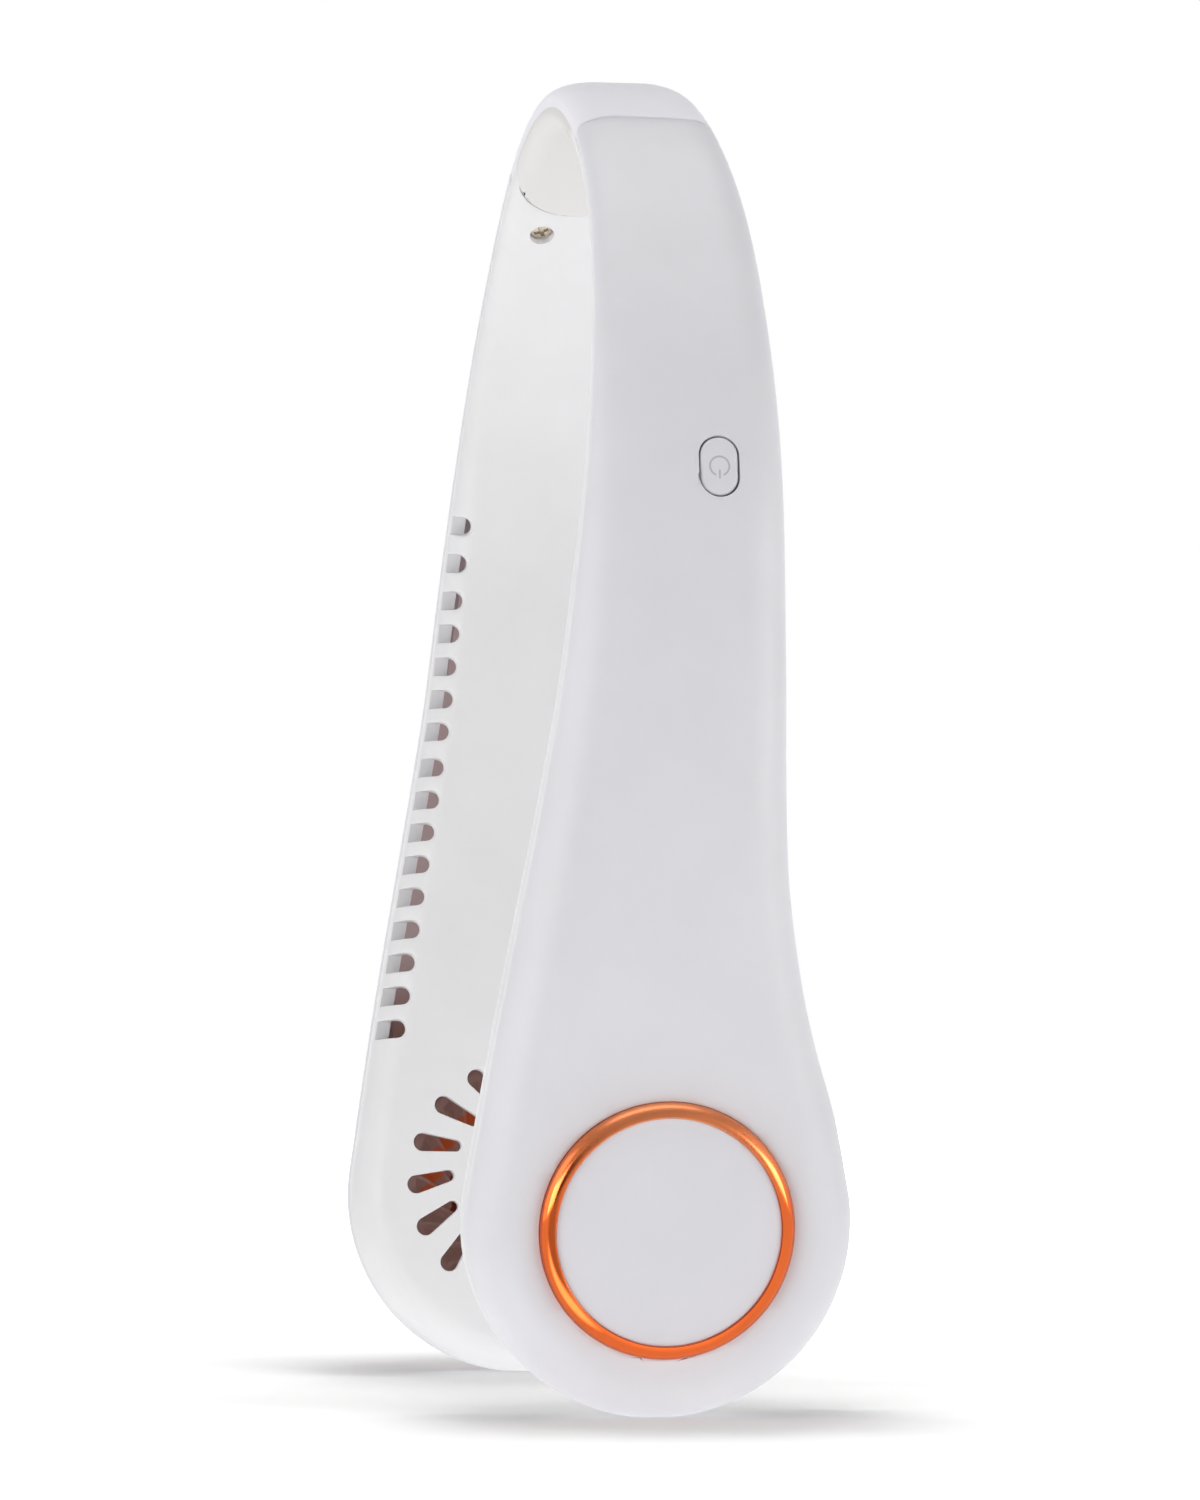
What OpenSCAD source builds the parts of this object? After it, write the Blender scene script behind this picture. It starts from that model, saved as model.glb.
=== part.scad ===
// Electric neck fan, standing on its two round ends with the neck bridge at the top.
// The frame: X runs across the arms, Y from arm to arm, Z up, with the origin on the rest plane
// midway between the arms. The arm at -Y carries the button, and the arm at +Y mirrors it.

/* [Round ends] */
// Radius of each round end, at the parting line
bulb_r = 32; // [30:0.2:36]
// Depth of the outer shell at the round end, from the parting line
bulb_outer_depth = 10; // [9.5:0.5:13]
// Depth of the inner shell at the round end, from the parting line
bulb_inner_depth = 10.5; // [10:0.5:13]
// Lean of the lower arms in degrees, which brings the round ends together
arm_lean = 6; // [2:0.5:9]
// Depth of the small flat that each round end stands on
rest_flat = 0.2; // [0.1:0.05:0.5]

/* [Arch] */
// Half span of the arch, to the parting line
arch_half_span = 71.6; // [66:0.2:80]
// Height at which the arch springs from the upright arms
arch_spring_z = 140; // [132:1:150]
// Rise of the arch over its springing, to the parting line
arch_rise = 83; // [76:0.5:90]
// Upright stretch of arm below the arch
upright_len = 14; // [8:1:20]
// Radius on which the leaning arm turns upright
lean_turn_r = 383; // [300:1:450]

/* [Bridge] */
// Width of the bridge band
bridge_w = 22.1; // [21:0.1:28]
// Offset of the bridge centre across the arms, towards +X
bridge_shift = 3.7; // [2:0.1:4]
// Depth of the bridge on its outer side, from the parting line
bridge_outer_depth = 4; // [3.8:0.1:5]
// Depth of the bridge on its neck side, from the parting line
bridge_inner_depth = 4; // [3.8:0.1:5]
// Length along the arch from the crown to each outer seam
bridge_half_len = 36.4; // [34:0.2:40]
// How far the soft liner laps over each inner shell past the seam
liner_lap = 5.1; // [3:0.1:5.6]
// How far the soft liner stands proud of the shells
liner_proud = 0.5; // [0.3:0.1:0.8]
// Height of the liner's sides proud of the bridge's sides
liner_side_proud = 0.35; // [0.1:0.05:0.6]
// Corner radius of the liner's ends
liner_corner_r = 11.5; // [5:0.5:12]

/* [Shells] */
// Wall thickness of all four shells
wall = 1.8; // [1.4:0.1:2]
// Part of an edge's inset that does not grow with depth, outer shell
outer_edge_base = 6.5; // [5:0.1:7]
// Part of an edge's inset that does not grow with depth, inner shell
inner_edge_base = 3; // [2:0.1:3.5]
// Gap of the parting line between the shells
parting_gap = 0.08; // [0.04:0.02:0.15]
// Gap of the seam between a shell and the bridge
seam_gap = 0.3; // [0.2:0.05:0.5]

/* [Air outlets] */
// Number of outlet slots along the edge of each arm
slot_count = 16; // [10:1:16]
// Width of a slot along the arm
slot_w = 3.4; // [2.4:0.1:3.8]
// Pitch of the slots
slot_pitch = 6.04; // [5.6:0.02:6.1]
// Extra gap beside each stiffening rib between groups of slots
slot_rib = 0.66; // [0:0.02:0.8]
// Distance of the first slot above the fan axis
slot_first = 29.65; // [29:0.05:31]
// Reach of the lowest slot in from the edge
slot_reach_low = 4.85; // [4:0.05:5.5]
// Reach of the highest slot in from the edge
slot_reach_high = 3.35; // [2.6:0.05:4]

/* [Air intake] */
// Number of intake slots round each fan
intake_count = 17; // [12:1:20]
// Distance of the wide ends' centres in from the edge of the round end
intake_inset = 10.95; // [10:0.05:13]
// Distance from the wide ends' centres to the narrow ends' centres, towards the axis
intake_len = 5.85; // [4:0.05:8]
// Width of the wide end
intake_wide = 3.3; // [2.6:0.1:3.6]
// Width of the narrow end
intake_narrow = 2.1; // [1.6:0.1:2.6]
// Angle by which the narrow ends lead the wide ends
intake_swirl = 5.2; // [0:0.2:8]

/* [Trim ring and disc] */
// Distance of the bright trim ring in from the edge of the round end
ring_inset = 10.9; // [10:0.1:11.5]
// Width of the trim ring
ring_w = 2.35; // [1.8:0.05:3]
// Height of the ring over the shell's face
ring_rise = 2.3; // [1.6:0.1:3]
// Height of the disc over the shell's face
disc_rise = 1.9; // [1:0.1:2.5]
// Depth of the pocket that the ring and the disc sit in
pocket_depth = 1.6; // [1.2:0.1:2]

/* [Fan and motor] */
// Offset of the fan's axis across the arm from the middle of the round end
motor_x = 0.2; // [-1:0.1:1]
// Offset of the fan's axis up the arm
motor_s = 1.5; // [0:0.1:2]
// Distance of the impeller in from the edge of the round end
impeller_inset = 9.5; // [9:0.1:12]
// Number of blades
blade_count = 30; // [18:1:36]
// Height of the blades
blade_h = 10.4; // [8:0.1:11]
// Radius of the motor shaft
shaft_r = 1; // [0.8:0.05:1.4]
// Running clearance round the shaft
shaft_clearance = 0.03; // [0.02:0.01:0.08]
// Outer radius of the stator
stator_r = 8.4; // [7.6:0.1:8.8]
// Outer radius of the rotor cup
rotor_r = 10.4; // [10:0.1:11]

/* [Button] */
// Width of the button
button_w = 6.2; // [5.5:0.1:7.5]
// Length of the button along the arm
button_len = 9.7; // [8.5:0.1:11]
// Travel of the button
button_travel = 0.6; // [0.3:0.05:0.8]
// Distance of the button along the arm from the fan axis
button_s = 122.1; // [119:0.1:125]
// Offset of the button across the arm
button_x = 8.2; // [7:0.1:9]
// Gap all round the button
button_gap = 0.3; // [0.2:0.05:0.4]

/* [Hidden] */

// One overrun lets every cut pass its faces, and one reach clears the whole fan
overrun = 1;
reach = 4 * bulb_r;
fine = 64;

// The widest contour of an arm from the round end, row 0, to the crown of the bridge, last row.
// A row holds the share of the climb, then the share of the round end's extra width on each side
edge_shares = [[0, 1, 1], [0.07, 0.913, 0.84], [0.13, 0.836, 0.639], [0.18, 0.768, 0.504],
    [0.24, 0.684, 0.392], [0.29, 0.612, 0.331], [0.37, 0.501, 0.302], [0.45, 0.399, 0.299],
    [0.56, 0.293, 0.29], [0.67, 0.193, 0.272], [0.77, 0.117, 0.227], [0.88, 0.045, 0.157],
    [1, 0, 0]];
// The angle over the round end's middle at which the sides leave its circle
join_angle = 8;
// The share of a shell's depth that is upright side wall, and how an edge's inset grows with depth
side_share = 0.25;
outer_edge_share = 0.15;
inner_edge_share = 0.25;
// Points down one edge, and the rings of the round end and of the rest of an arm
levels = 7;
cavity_levels = 5;
bulb_rings = 16;
arm_rings = 30;
bridge_rings = 12;

// The arm's centre line runs up from the fan axis: lean, turn, upright stretch, then the arch
turn_z = arch_spring_z - upright_len;
lean_end_y = arch_half_span - lean_turn_r * (1 - cos(arm_lean));
lean_end_z = turn_z - lean_turn_r * sin(arm_lean);
fan_z = bulb_r * cos(arm_lean) + side_share * bulb_outer_depth * sin(arm_lean) - rest_flat;
lean_len = (lean_end_z - fan_z) / cos(arm_lean);
turn_len = lean_turn_r * arm_lean * PI / 180;
arch_mix = 3 * arch_half_span + arch_rise;
arch_mix_back = arch_half_span + 3 * arch_rise;
arch_len = PI / 4 * (3 * (arch_half_span + arch_rise) - sqrt(arch_mix * arch_mix_back));
turn_start = lean_len;
upright_start = turn_start + turn_len;
arch_start = upright_start + upright_len;
crown_s = arch_start + arch_len;
crown_z = arch_spring_z + arch_rise;
join_s = bulb_r * sin(join_angle);
join_z = fan_z + join_s * cos(arm_lean);
join_x = bulb_r * cos(join_angle);
bridge_left = bridge_w / 2 - bridge_shift;
bridge_right = bridge_w / 2 + bridge_shift;
// The shells are deepest over the round ends, and thin out from here to the crown
taper_z = 2 * bulb_r;
seam_s = crown_s - bridge_half_len;

function clamp(t) = min(1, max(0, t));
function ease(t) = clamp(t) ^ 2 * (3 - 2 * clamp(t));
function arch_turn(s) = 90 * (s - arch_start) / arch_len;
function lean_at(s) = arm_lean * (1 - clamp((s - turn_start) / turn_len));
// The tilt of the outward normal over the horizontal
function tilt(s) = s < arch_start ? -lean_at(s)
    : atan2(sin(arch_turn(s)) / arch_rise, cos(arch_turn(s)) / arch_half_span);
function line_y(s) = s < turn_start ? lean_end_y - (turn_start - s) * sin(arm_lean)
    : s < arch_start ? arch_half_span - lean_turn_r * (1 - cos(lean_at(s)))
    : arch_half_span * cos(arch_turn(s));
function line_z(s) = s < turn_start ? lean_end_z - (turn_start - s) * cos(arm_lean)
    : s < upright_start ? turn_z - lean_turn_r * sin(lean_at(s))
    : s < arch_start ? turn_z + s - upright_start
    : arch_spring_z + arch_rise * sin(arch_turn(s));

// A cubic curve through the rows of edge_shares, column c
function row_of(t, i = 0) = i >= len(edge_shares) - 2 || t < edge_shares[i + 1][0] ? i
    : row_of(t, i + 1);
function slope(i, c) = let(a = edge_shares[max(i - 1, 0)],
    b = edge_shares[min(i + 1, len(edge_shares) - 1)]) (b[c] - a[c]) / (b[0] - a[0]);
function share(t, c) = let(i = row_of(t), p = edge_shares[i], q = edge_shares[i + 1],
    w = q[0] - p[0], u = (t - p[0]) / w)
    p[c] * (1 + 2 * u) * (1 - u) ^ 2 + slope(i, c) * w * u * (1 - u) ^ 2
    + q[c] * u ^ 2 * (3 - 2 * u) + slope(i + 1, c) * w * u ^ 2 * (u - 1);
function climb(s) = clamp((line_z(s) - join_z) / (crown_z - join_z));
// The distance from the centre line to the contour, on the -X side and on the +X side
function half_width(side, s) = side < 0
    ? bridge_left + (join_x - bridge_left) * share(climb(s), 1)
    : bridge_right + (join_x - bridge_right) * share(climb(s), 2);
function width_slope(side, s) = s <= join_s ? -tan(join_angle)
    : (half_width(side, s + overrun) - half_width(side, s - overrun)) / (2 * overrun);
// Depth and edge inset of a shell: out is 1 for the outer shell, -1 for the inner shell
function taper(s) = ease((line_z(s) - taper_z) / (crown_z - taper_z));
function depth(out, s) = out > 0
    ? bulb_outer_depth + (bridge_outer_depth - bulb_outer_depth) * taper(s)
    : bulb_inner_depth + (bridge_inner_depth - bulb_inner_depth) * taper(s);
function edge(out, s) = out > 0
    ? outer_edge_base + outer_edge_share * depth(out, s)
    : inner_edge_base + inner_edge_share * depth(out, s);
// How far the outer surface has come in from the contour at a height over the parting line
function inset_at(out, s, h) = let(d = depth(out, s),
    rise = clamp((abs(h) / d - side_share) / (1 - side_share))) edge(out, s) * (1 - cos(asin(rise)));

// A point of the arm: x across, s along, h out from the parting line; arm is -1 or 1 for its Y side
function spot(x, s, h, arm = -1) = [x, arm * (line_y(s) + cos(tilt(s)) * h),
    line_z(s) + sin(tilt(s)) * h];
function contour_spot(side, s, inset, h, arm = -1) = let(m = width_slope(side, s),
    c = 1 / sqrt(1 + m ^ 2))
    spot(side * (half_width(side, s) - inset * c), s + inset * m * c, h, arm);
function bulb_spot(side, angle, inset, h) =
    spot(side * (bulb_r - inset) * sin(angle), (inset - bulb_r) * cos(angle), h);
// A level of an edge: its inset and its height over the parting line
function level(k, count, out, s, shrink, rim) = k == 0 ? [shrink, rim]
    : let(a = 90 * (k - 1) / (count - 2), d = depth(out, s) - shrink)
    [shrink + max(edge(out, s) - shrink / 2, shrink) * (1 - cos(a)),
        out * d * (side_share + (1 - side_share) * sin(a))];
// How high over the parting line at s the flat plane through another station's parting line lies
function line_at(s) = [line_y(s), line_z(s)];
function out_at(s) = [cos(tilt(s)), sin(tilt(s))];
function plane_h(plane_s, s) = (line_at(plane_s) - line_at(s)) * out_at(plane_s)
    / (out_at(s) * out_at(plane_s));
function there_and_back(list) = concat(list, [for (i = [len(list) - 1:-1:0]) list[i]]);

// The faces of a loft of n rings of m points, closed at both ends by strips from half to half
function turned(faces, flip) = flip ? [for (f = faces) [f[2], f[1], f[0]]] : faces;
function loft_faces(n, m, flip) = let(last = (n - 1) * m) turned(concat(
    [for (i = [0:n - 2]) for (j = [0:m - 1]) let(a = i * m, b = a + m, j2 = (j + 1) % m)
        each [[a + j, b + j, b + j2], [a + j, b + j2, a + j2]]],
    [for (k = [0:m / 2 - 2]) each [[k, k + 1, m - 2 - k], [k, m - 2 - k, m - 1 - k]]],
    [for (k = [0:m / 2 - 2]) each [[last + k + 1, last + k, last + m - 1 - k],
        [last + k + 1, last + m - 1 - k, last + m - 2 - k]]]), flip);
module loft(rings, flip = false) {
    polyhedron([for (r = rings) each r], loft_faces(len(rings), len(rings[0]), flip));
}

// One ring over the round end, at an angle from its foot, and one ring across the arm
function ring_sides(count) = [for (k = [0:2 * count - 1]) k < count ? -1 : 1];
function bulb_ring(angle, count, out, shrink, rim) = let(sides = ring_sides(count),
    steps = there_and_back([for (k = [0:count - 1]) level(k, count, out, 0, shrink, rim)]))
    [for (k = [0:2 * count - 1]) bulb_spot(sides[k], angle, steps[k][0], steps[k][1])];
function arm_ring(s, count, out, shrink, rim, lap = 0, arm = -1) = let(sides = ring_sides(count),
    steps = there_and_back([for (k = [0:count - 1]) level(k, count, out, s, shrink, rim)]))
    [for (k = [0:2 * count - 1]) contour_spot(sides[k], s, steps[k][0] + lap, steps[k][1], arm)];

// The solid half of an arm on one side of the parting line, or its hollow when shrink is the wall
module half_arm(out, shrink, rim, count, end_s) {
    first = 90 / bulb_rings / 2;
    turn = 90 + join_angle - first;
    step = (end_s - join_s) / arm_rings;
    rings = concat(
        [for (i = [0:bulb_rings]) bulb_ring(first + turn * i / bulb_rings, count, out, shrink, rim)],
        [for (i = [1:arm_rings]) arm_ring(join_s + step * i, count, out, shrink, rim)]);
    loft(rings, out < 0);
}

// A strip of one width function and fixed heights, from near one end of the arm to further along
module strip(x_left, x_right, h_low, h_high, s_from, s_to, count) {
    step = (s_to - s_from) / count;
    loft([for (i = [0:count]) let(s = s_from + step * i)
        [spot(x_left(s), s, h_low(s)), spot(x_left(s), s, h_high(s)),
            spot(x_right(s), s, h_high(s)), spot(x_right(s), s, h_low(s))]]);
}

// A strip over the crown, from one arm to the other
function over_crown(s_from) = let(step = (crown_s - s_from) / bridge_rings)
    [for (i = [-bridge_rings:bridge_rings]) [crown_s - abs(i) * step, i <= 0 ? -1 : 1]];
module band(x_left, x_right, h_low, h_high, s_from) {
    loft([for (q = over_crown(s_from))
        [spot(x_left, q[0], h_low, q[1]), spot(x_left, q[0], h_high, q[1]),
            spot(x_right, q[0], h_high, q[1]), spot(x_right, q[0], h_low, q[1])]]);
}

// Local frames: x across the arm, y up along it, z out; and the mirror image on the other arm
module at_station(s, x = 0) {
    translate([x, -line_y(s), line_z(s)])
        rotate([90 - tilt(s), 0, 0])
            children();
}
module at_fan() {
    at_station(0) children();
}
module at_motor(side = 1) {
    at_station(motor_s, side * motor_x) children();
}
module other_arm() {
    mirror([0, 1, 0]) children();
}
// Both arms take the same fan unit, so the other one is turned about and not mirrored
module other_fan() {
    rotate([0, 0, 180]) children();
}
module tube(r_out, r_in, low, high) {
    translate([0, 0, low])
        difference() {
            cylinder(r = r_out, h = high - low, $fn = fine);
            translate([0, 0, -overrun])
                cylinder(r = r_in, h = high - low + 2 * overrun, $fn = fine);
        }
}
module disc(r, low, high) {
    translate([0, 0, low])
        cylinder(r = r, h = high - low, $fn = fine);
}
module pill(w, len, low, high) {
    translate([0, 0, low])
        linear_extrude(high - low) {
            square([w, len - w], center = true);
            for (end = [-1, 1])
                translate([0, end * (len - w) / 2])
                    circle(d = w, $fn = fine);
        }
}

// Radii of the round pieces, which follow the round end
ring_r = bulb_r - ring_inset;
intake_outer_r = bulb_r - intake_inset;
intake_inner_r = intake_outer_r - intake_len;
impeller_r = bulb_r - impeller_inset;

// Heights of the fan's pieces over the parting line, outwards
seat = 0.1;
face_h = bulb_outer_depth;
pocket_h = face_h - pocket_depth;
plate_t = 1.6;
plate_h = pocket_h - plate_t;
duct_wall = 1;
duct_floor_h = plate_h - seat - duct_wall;
fan_gap = 0.7;
impeller_back_t = 1;
impeller_back_h = duct_floor_h - fan_gap;
blade_top_h = impeller_back_h - impeller_back_t;
blade_foot_h = blade_top_h - blade_h;
volute_gap = 1.8;
volute_r = impeller_r + volute_gap;
boss_r = 3.4;
boss_end_h = 0.2;
bearing_r = 2.2;
cup_t = 1;
cup_floor_h = boss_end_h - fan_gap;
cup_rim_h = impeller_back_h - seat;
magnet_t = 0.5;
hub_t = 1.2;
hub_gap = 0.05;
hub_r = rotor_r + hub_gap + hub_t;
stator_foot = 0.4;
core_h = 4;

// Screws: place across and along the arm, then their common sizes
top_screw_x = -1.1;
top_screw_below_seam = 11;
low_screw_x = 14;
low_screw_s = 46;
screw_spots = [[top_screw_x, seam_s - top_screw_below_seam], [low_screw_x, low_screw_s]];
screw_head_r = 2;
screw_recess_r = 2.2;
screw_shank_r = 0.95;
screw_head_h = 1.1;
cross_share = 0.75;
screw_seat_t = 1.1;
screw_post_r = 2.2;
screw_post_end_h = -1;
screw_len = 4.6;
screw_seat_h = screw_post_end_h - seat - screw_seat_t;
screw_tip_h = screw_seat_h + screw_len;

// Slots: the group ribs stand after these slots, counted from the lowest
rib_slots = [9, 14, 15];
function ribs_below(i) = len([for (r = rib_slots) if (i >= r) r]);
function slot_s(i) = slot_first + i * slot_pitch + ribs_below(i) * slot_rib;
slot_floor_share = 0.42;
slots_top_s = slot_s(slot_count - 1) + slot_w;
divider_x = -0.8;

// The outlet slots cut through the edge of the inner shell, square to its face
module outlet_slots() {
    for (i = [0:slot_count - 1]) {
        s = slot_s(i);
        slot_reach = slot_reach_low + (slot_reach_high - slot_reach_low) * i / (slot_count - 1);
        inner_end = slot_reach - half_width(-1, s) - slot_w / 2;
        floor_h = -slot_floor_share * depth(-1, s);
        low = -depth(-1, s) - overrun;
        at_station(s)
            translate([0, 0, low])
                linear_extrude(floor_h - low) {
                    translate([inner_end - reach, -slot_w / 2])
                        square([reach, slot_w]);
                    translate([inner_end, 0])
                        circle(d = slot_w, $fn = fine);
                }
    }
}

// An intake slot is a teardrop between a wide and a narrow round end
teardrop_steps = 10;
quarter = 90;
intake_turn = 11.8;
intake_shift = [-0.5, 0.35];
function arc(r, x, y, from, to) = [for (i = [0:teardrop_steps])
    let(a = from + (to - from) * i / teardrop_steps) [x + r * cos(a), y + r * sin(a)]];
module intake_slots() {
    low = -bulb_inner_depth - overrun;
    skew = atan2(intake_inner_r * sin(intake_swirl),
        intake_outer_r - intake_inner_r * cos(intake_swirl));
    at_motor()
        for (i = [0:intake_count - 1])
            translate([intake_shift.x, intake_shift.y, low])
                rotate(360 / intake_count * i + intake_turn)
                    linear_extrude(wall + 2 * overrun)
                        polygon(concat(
                            arc(intake_wide / 2, intake_outer_r, 0, skew - quarter, skew + quarter),
                            arc(intake_narrow / 2, intake_inner_r * cos(intake_swirl),
                                -intake_inner_r * sin(intake_swirl), skew + quarter, skew + 3 * quarter)));
}

// The flat foot that the round ends stand on
module below_rest() {
    translate([-reach, -reach, -reach])
        cube([2 * reach, 2 * reach, reach]);
}
// All that lies past a station
module past(s) {
    at_station(s)
        translate([-reach, 0, -reach])
            cube([2 * reach, reach, 2 * reach]);
}
module each_screw() {
    for (p = screw_spots)
        at_station(p[1], p[0])
            children();
}

// The circuit board, its posts, and the cell before it, all placed from the button
board_t = 1;
board_top_h = 0;
board_x = -0.2;
board_w = 15.7;
board_below_button = 18.1;
board_s = button_s - board_below_button;
board_len = 34;
board_end_s = board_s + board_len;
board_mid_s = board_s + board_len / 2;
board_post_r = 1.4;
board_post_edge = 2.5;
board_post_spots = [[board_x + board_post_edge, board_s + board_post_edge],
    [board_x + board_w - 2 * board_post_edge, board_end_s - board_post_edge]];

// The pieces on the board stand on its upper face, square to it
module on_board(x, s) {
    at_station(board_mid_s, x)
        translate([0, s - board_mid_s, board_top_h])
            children();
}

// The charging socket hangs under the board and opens through the +X edge of the inner shell
port_on_board = 4;
port_s = board_s + port_on_board;
port_w = 8.94;
port_t = 3.26;
port_len = 7.3;
port_wall = 0.3;
port_gap = 0.25;
port_face_gap = 0.5;
port_face_x = half_width(1, port_s) - port_face_gap;
module at_port() {
    on_board(port_face_x, port_s)
        translate([0, 0, -board_t - port_t / 2])
            rotate([0, 90, 0])
                children();
}

// The button's stack, from the shell's face inwards
button_face_gap = 0.25;
button_face_h = depth(1, button_s) - button_face_gap;
button_flange = 0.9;
button_flange_t = 0.9;
button_flange_h = depth(1, button_s) - wall - 2 * button_gap;
button_stem_r = 1.6;
plunger_r = 1.5;
plunger_top_h = button_flange_h - button_flange_t - 2 * seat;
switch_w = 6;
switch_h = 2;
switch_bore_h = 0.6;
plunger_gap = 0.3;
plunger_end_h = switch_bore_h + button_travel + plunger_gap;

module outer_shell(with_button) {
    color("whitesmoke")
    difference() {
        union() {
            difference() {
                half_arm(1, 0, 0, levels, seam_s + overrun);
                half_arm(1, wall, -overrun, cavity_levels, seam_s + 2 * overrun);
            }
            at_fan()
                disc(ring_r + wall, plate_h, face_h - wall / 2);
            at_motor()
                disc(boss_r, boss_end_h, plate_h + wall / 2);
            screw_posts();
            if (with_button)
                board_posts();
        }
        at_fan()
            disc(ring_r + seat, pocket_h, face_h + overrun);
        at_motor()
            disc(bearing_r, boss_end_h - overrun, plate_h);
        each_screw()
            disc(screw_shank_r, screw_post_end_h - overrun, screw_tip_h + seat);
        if (with_button) {
            at_station(button_s, button_x)
                pill(button_w + 2 * button_gap, button_len + 2 * button_gap,
                    button_flange_h - button_flange_t, depth(1, button_s) + overrun);
            port_opening();
        }
        past(seam_s - seam_gap / 2);
        below_rest();
    }
}

module screw_posts() {
    for (p = screw_spots)
        at_station(p[1], p[0])
            disc(screw_post_r, screw_post_end_h, depth(1, p[1]) - wall / 2);
}
module board_posts() {
    for (p = board_post_spots)
        on_board(p[0], p[1])
            disc(board_post_r, seat, depth(1, p[1]) - wall / 2 - plane_h(board_mid_s, p[1]));
}

module port_opening() {
    at_port()
        pill(port_t + 2 * port_gap, port_w + 2 * port_gap, -port_len, wall + overrun);
}

module inner_shell(with_button) {
    color("whitesmoke")
    union() {
        difference() {
            union() {
                difference() {
                    half_arm(-1, 0, -parting_gap, levels, seam_s + overrun);
                    half_arm(-1, wall, overrun, cavity_levels, seam_s + 2 * overrun);
                }
                each_screw_boss();
            }
            outlet_slots();
            intake_slots();
            screw_recesses();
            liner_seat();
            if (with_button)
                port_opening();
            past(seam_s - seam_gap / 2);
            below_rest();
        }
        liner_ears();
    }
}

// A screw's head bears on a seat inside its recess in the inner shell
function screw_face_h(p) = -depth(-1, p[1]);
module each_screw_boss() {
    for (p = screw_spots)
        at_station(p[1], p[0])
            disc(screw_recess_r + wall / 2, screw_face_h(p) + wall / 2, screw_post_end_h - seat);
}
module screw_recesses() {
    for (p = screw_spots)
        at_station(p[1], p[0]) {
            disc(screw_recess_r, screw_face_h(p) - overrun, screw_seat_h);
            disc(screw_shank_r + seat, screw_face_h(p), screw_post_end_h + overrun);
        }
}
module screws() {
    color("silver")
    for (p = screw_spots)
        at_station(p[1], p[0])
            difference() {
                union() {
                    disc(screw_head_r, screw_seat_h - screw_head_h, screw_seat_h);
                    disc(screw_shank_r - seat / 4, screw_seat_h - seat, screw_tip_h - seat);
                }
                for (turn = [0, 90])
                    rotate(turn)
                        translate([0, 0, screw_seat_h - screw_head_h])
                            cube([cross_share * 2 * screw_head_r, screw_head_r / 4, screw_head_h],
                                center = true);
            }
}

module trim_ring() {
    color("darkorange")
    at_fan()
        rotate_extrude($fn = fine) {
            translate([ring_r - ring_w / 2, face_h + ring_rise - ring_w / 2])
                circle(d = ring_w, $fn = fine);
            translate([ring_r - ring_w, pocket_h])
                square([ring_w, ring_rise + pocket_depth - ring_w / 2]);
        }
}

module face_disc() {
    disc_r = ring_r - ring_w - seat / 2;
    cap_t = 1.4;
    color("white")
    at_fan()
        difference() {
            disc(disc_r, pocket_h, face_h + disc_rise);
            disc(disc_r - cap_t, pocket_h - overrun, face_h + disc_rise - cap_t);
        }
}

// The duct carries air from the fan to the slots: a volute cup, a floor and a divider
mouth_share = 0.6;
duct_rings = 16;
module air_duct() {
    divider = function(s) divider_x;
    divider_far = function(s) divider_x - duct_wall;
    floor_h = function(s) duct_floor_h
        + (side_share * depth(1, s) + duct_wall - duct_floor_h) * ease((s - volute_r) / volute_r);
    floor_top = function(s) floor_h(s) + duct_wall;
    floor_left = function(s)
        wall + seat * 3 + inset_at(1, s, floor_top(s) + wall) - half_width(-1, s);
    wall_foot = function(s) wall + seat * 3 - depth(-1, s);
    mouth = mouth_share * volute_r;
    color("rosybrown") {
        difference() {
            at_motor() {
                tube(volute_r + duct_wall, volute_r, blade_foot_h, duct_floor_h + overrun / 2);
                tube(volute_r + duct_wall, boss_r + seat, duct_floor_h, duct_floor_h + duct_wall);
            }
            at_motor()
                translate([-volute_r - overrun, mouth, -reach])
                    cube([volute_r + overrun + divider_x - duct_wall, volute_r, reach + duct_floor_h]);
        }
        difference() {
            union() {
                strip(floor_left, divider, floor_h, floor_top, mouth, slots_top_s, duct_rings);
                strip(divider_far, divider, wall_foot, floor_h, mouth, slots_top_s, duct_rings);
            }
            at_motor()
                disc(volute_r, -reach, reach);
        }
    }
}

// The stator is one section all through: a core, its poles, and their shoes with gaps between
pole_count = 9;
pole_w = 1.5;
core_r = 4.6;
shoe_t = 1;
module stator(side = 1) {
    pole_turn = 360 / pole_count;
    color("peru")
    at_motor(side)
        translate([0, 0, boss_end_h + stator_foot])
            linear_extrude(core_h)
                difference() {
                    union() {
                        circle(r = core_r, $fn = fine);
                        for (i = [0:pole_count - 1])
                            rotate(pole_turn * i + pole_turn / 4)
                                translate([0, -pole_w / 2])
                                    square([stator_r - shoe_t / 2, pole_w]);
                        difference() {
                            circle(r = stator_r, $fn = fine);
                            circle(r = stator_r - shoe_t, $fn = fine);
                            for (i = [0:pole_count - 1])
                                rotate(pole_turn * i + 3 * pole_turn / 4)
                                    translate([core_r, -shoe_t / 4])
                                        square([stator_r, shoe_t / 2]);
                        }
                    }
                    circle(r = boss_r + seat / 2, $fn = fine);
                }
}

module bearing(side = 1) {
    color("goldenrod")
    at_motor(side)
        tube(bearing_r - seat / 2, shaft_r + shaft_clearance, boss_end_h, plate_h - seat);
}

module shaft(side = 1) {
    color("silver")
    at_motor(side)
        disc(shaft_r, cup_floor_h, plate_h - 3 * seat);
}

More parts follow.
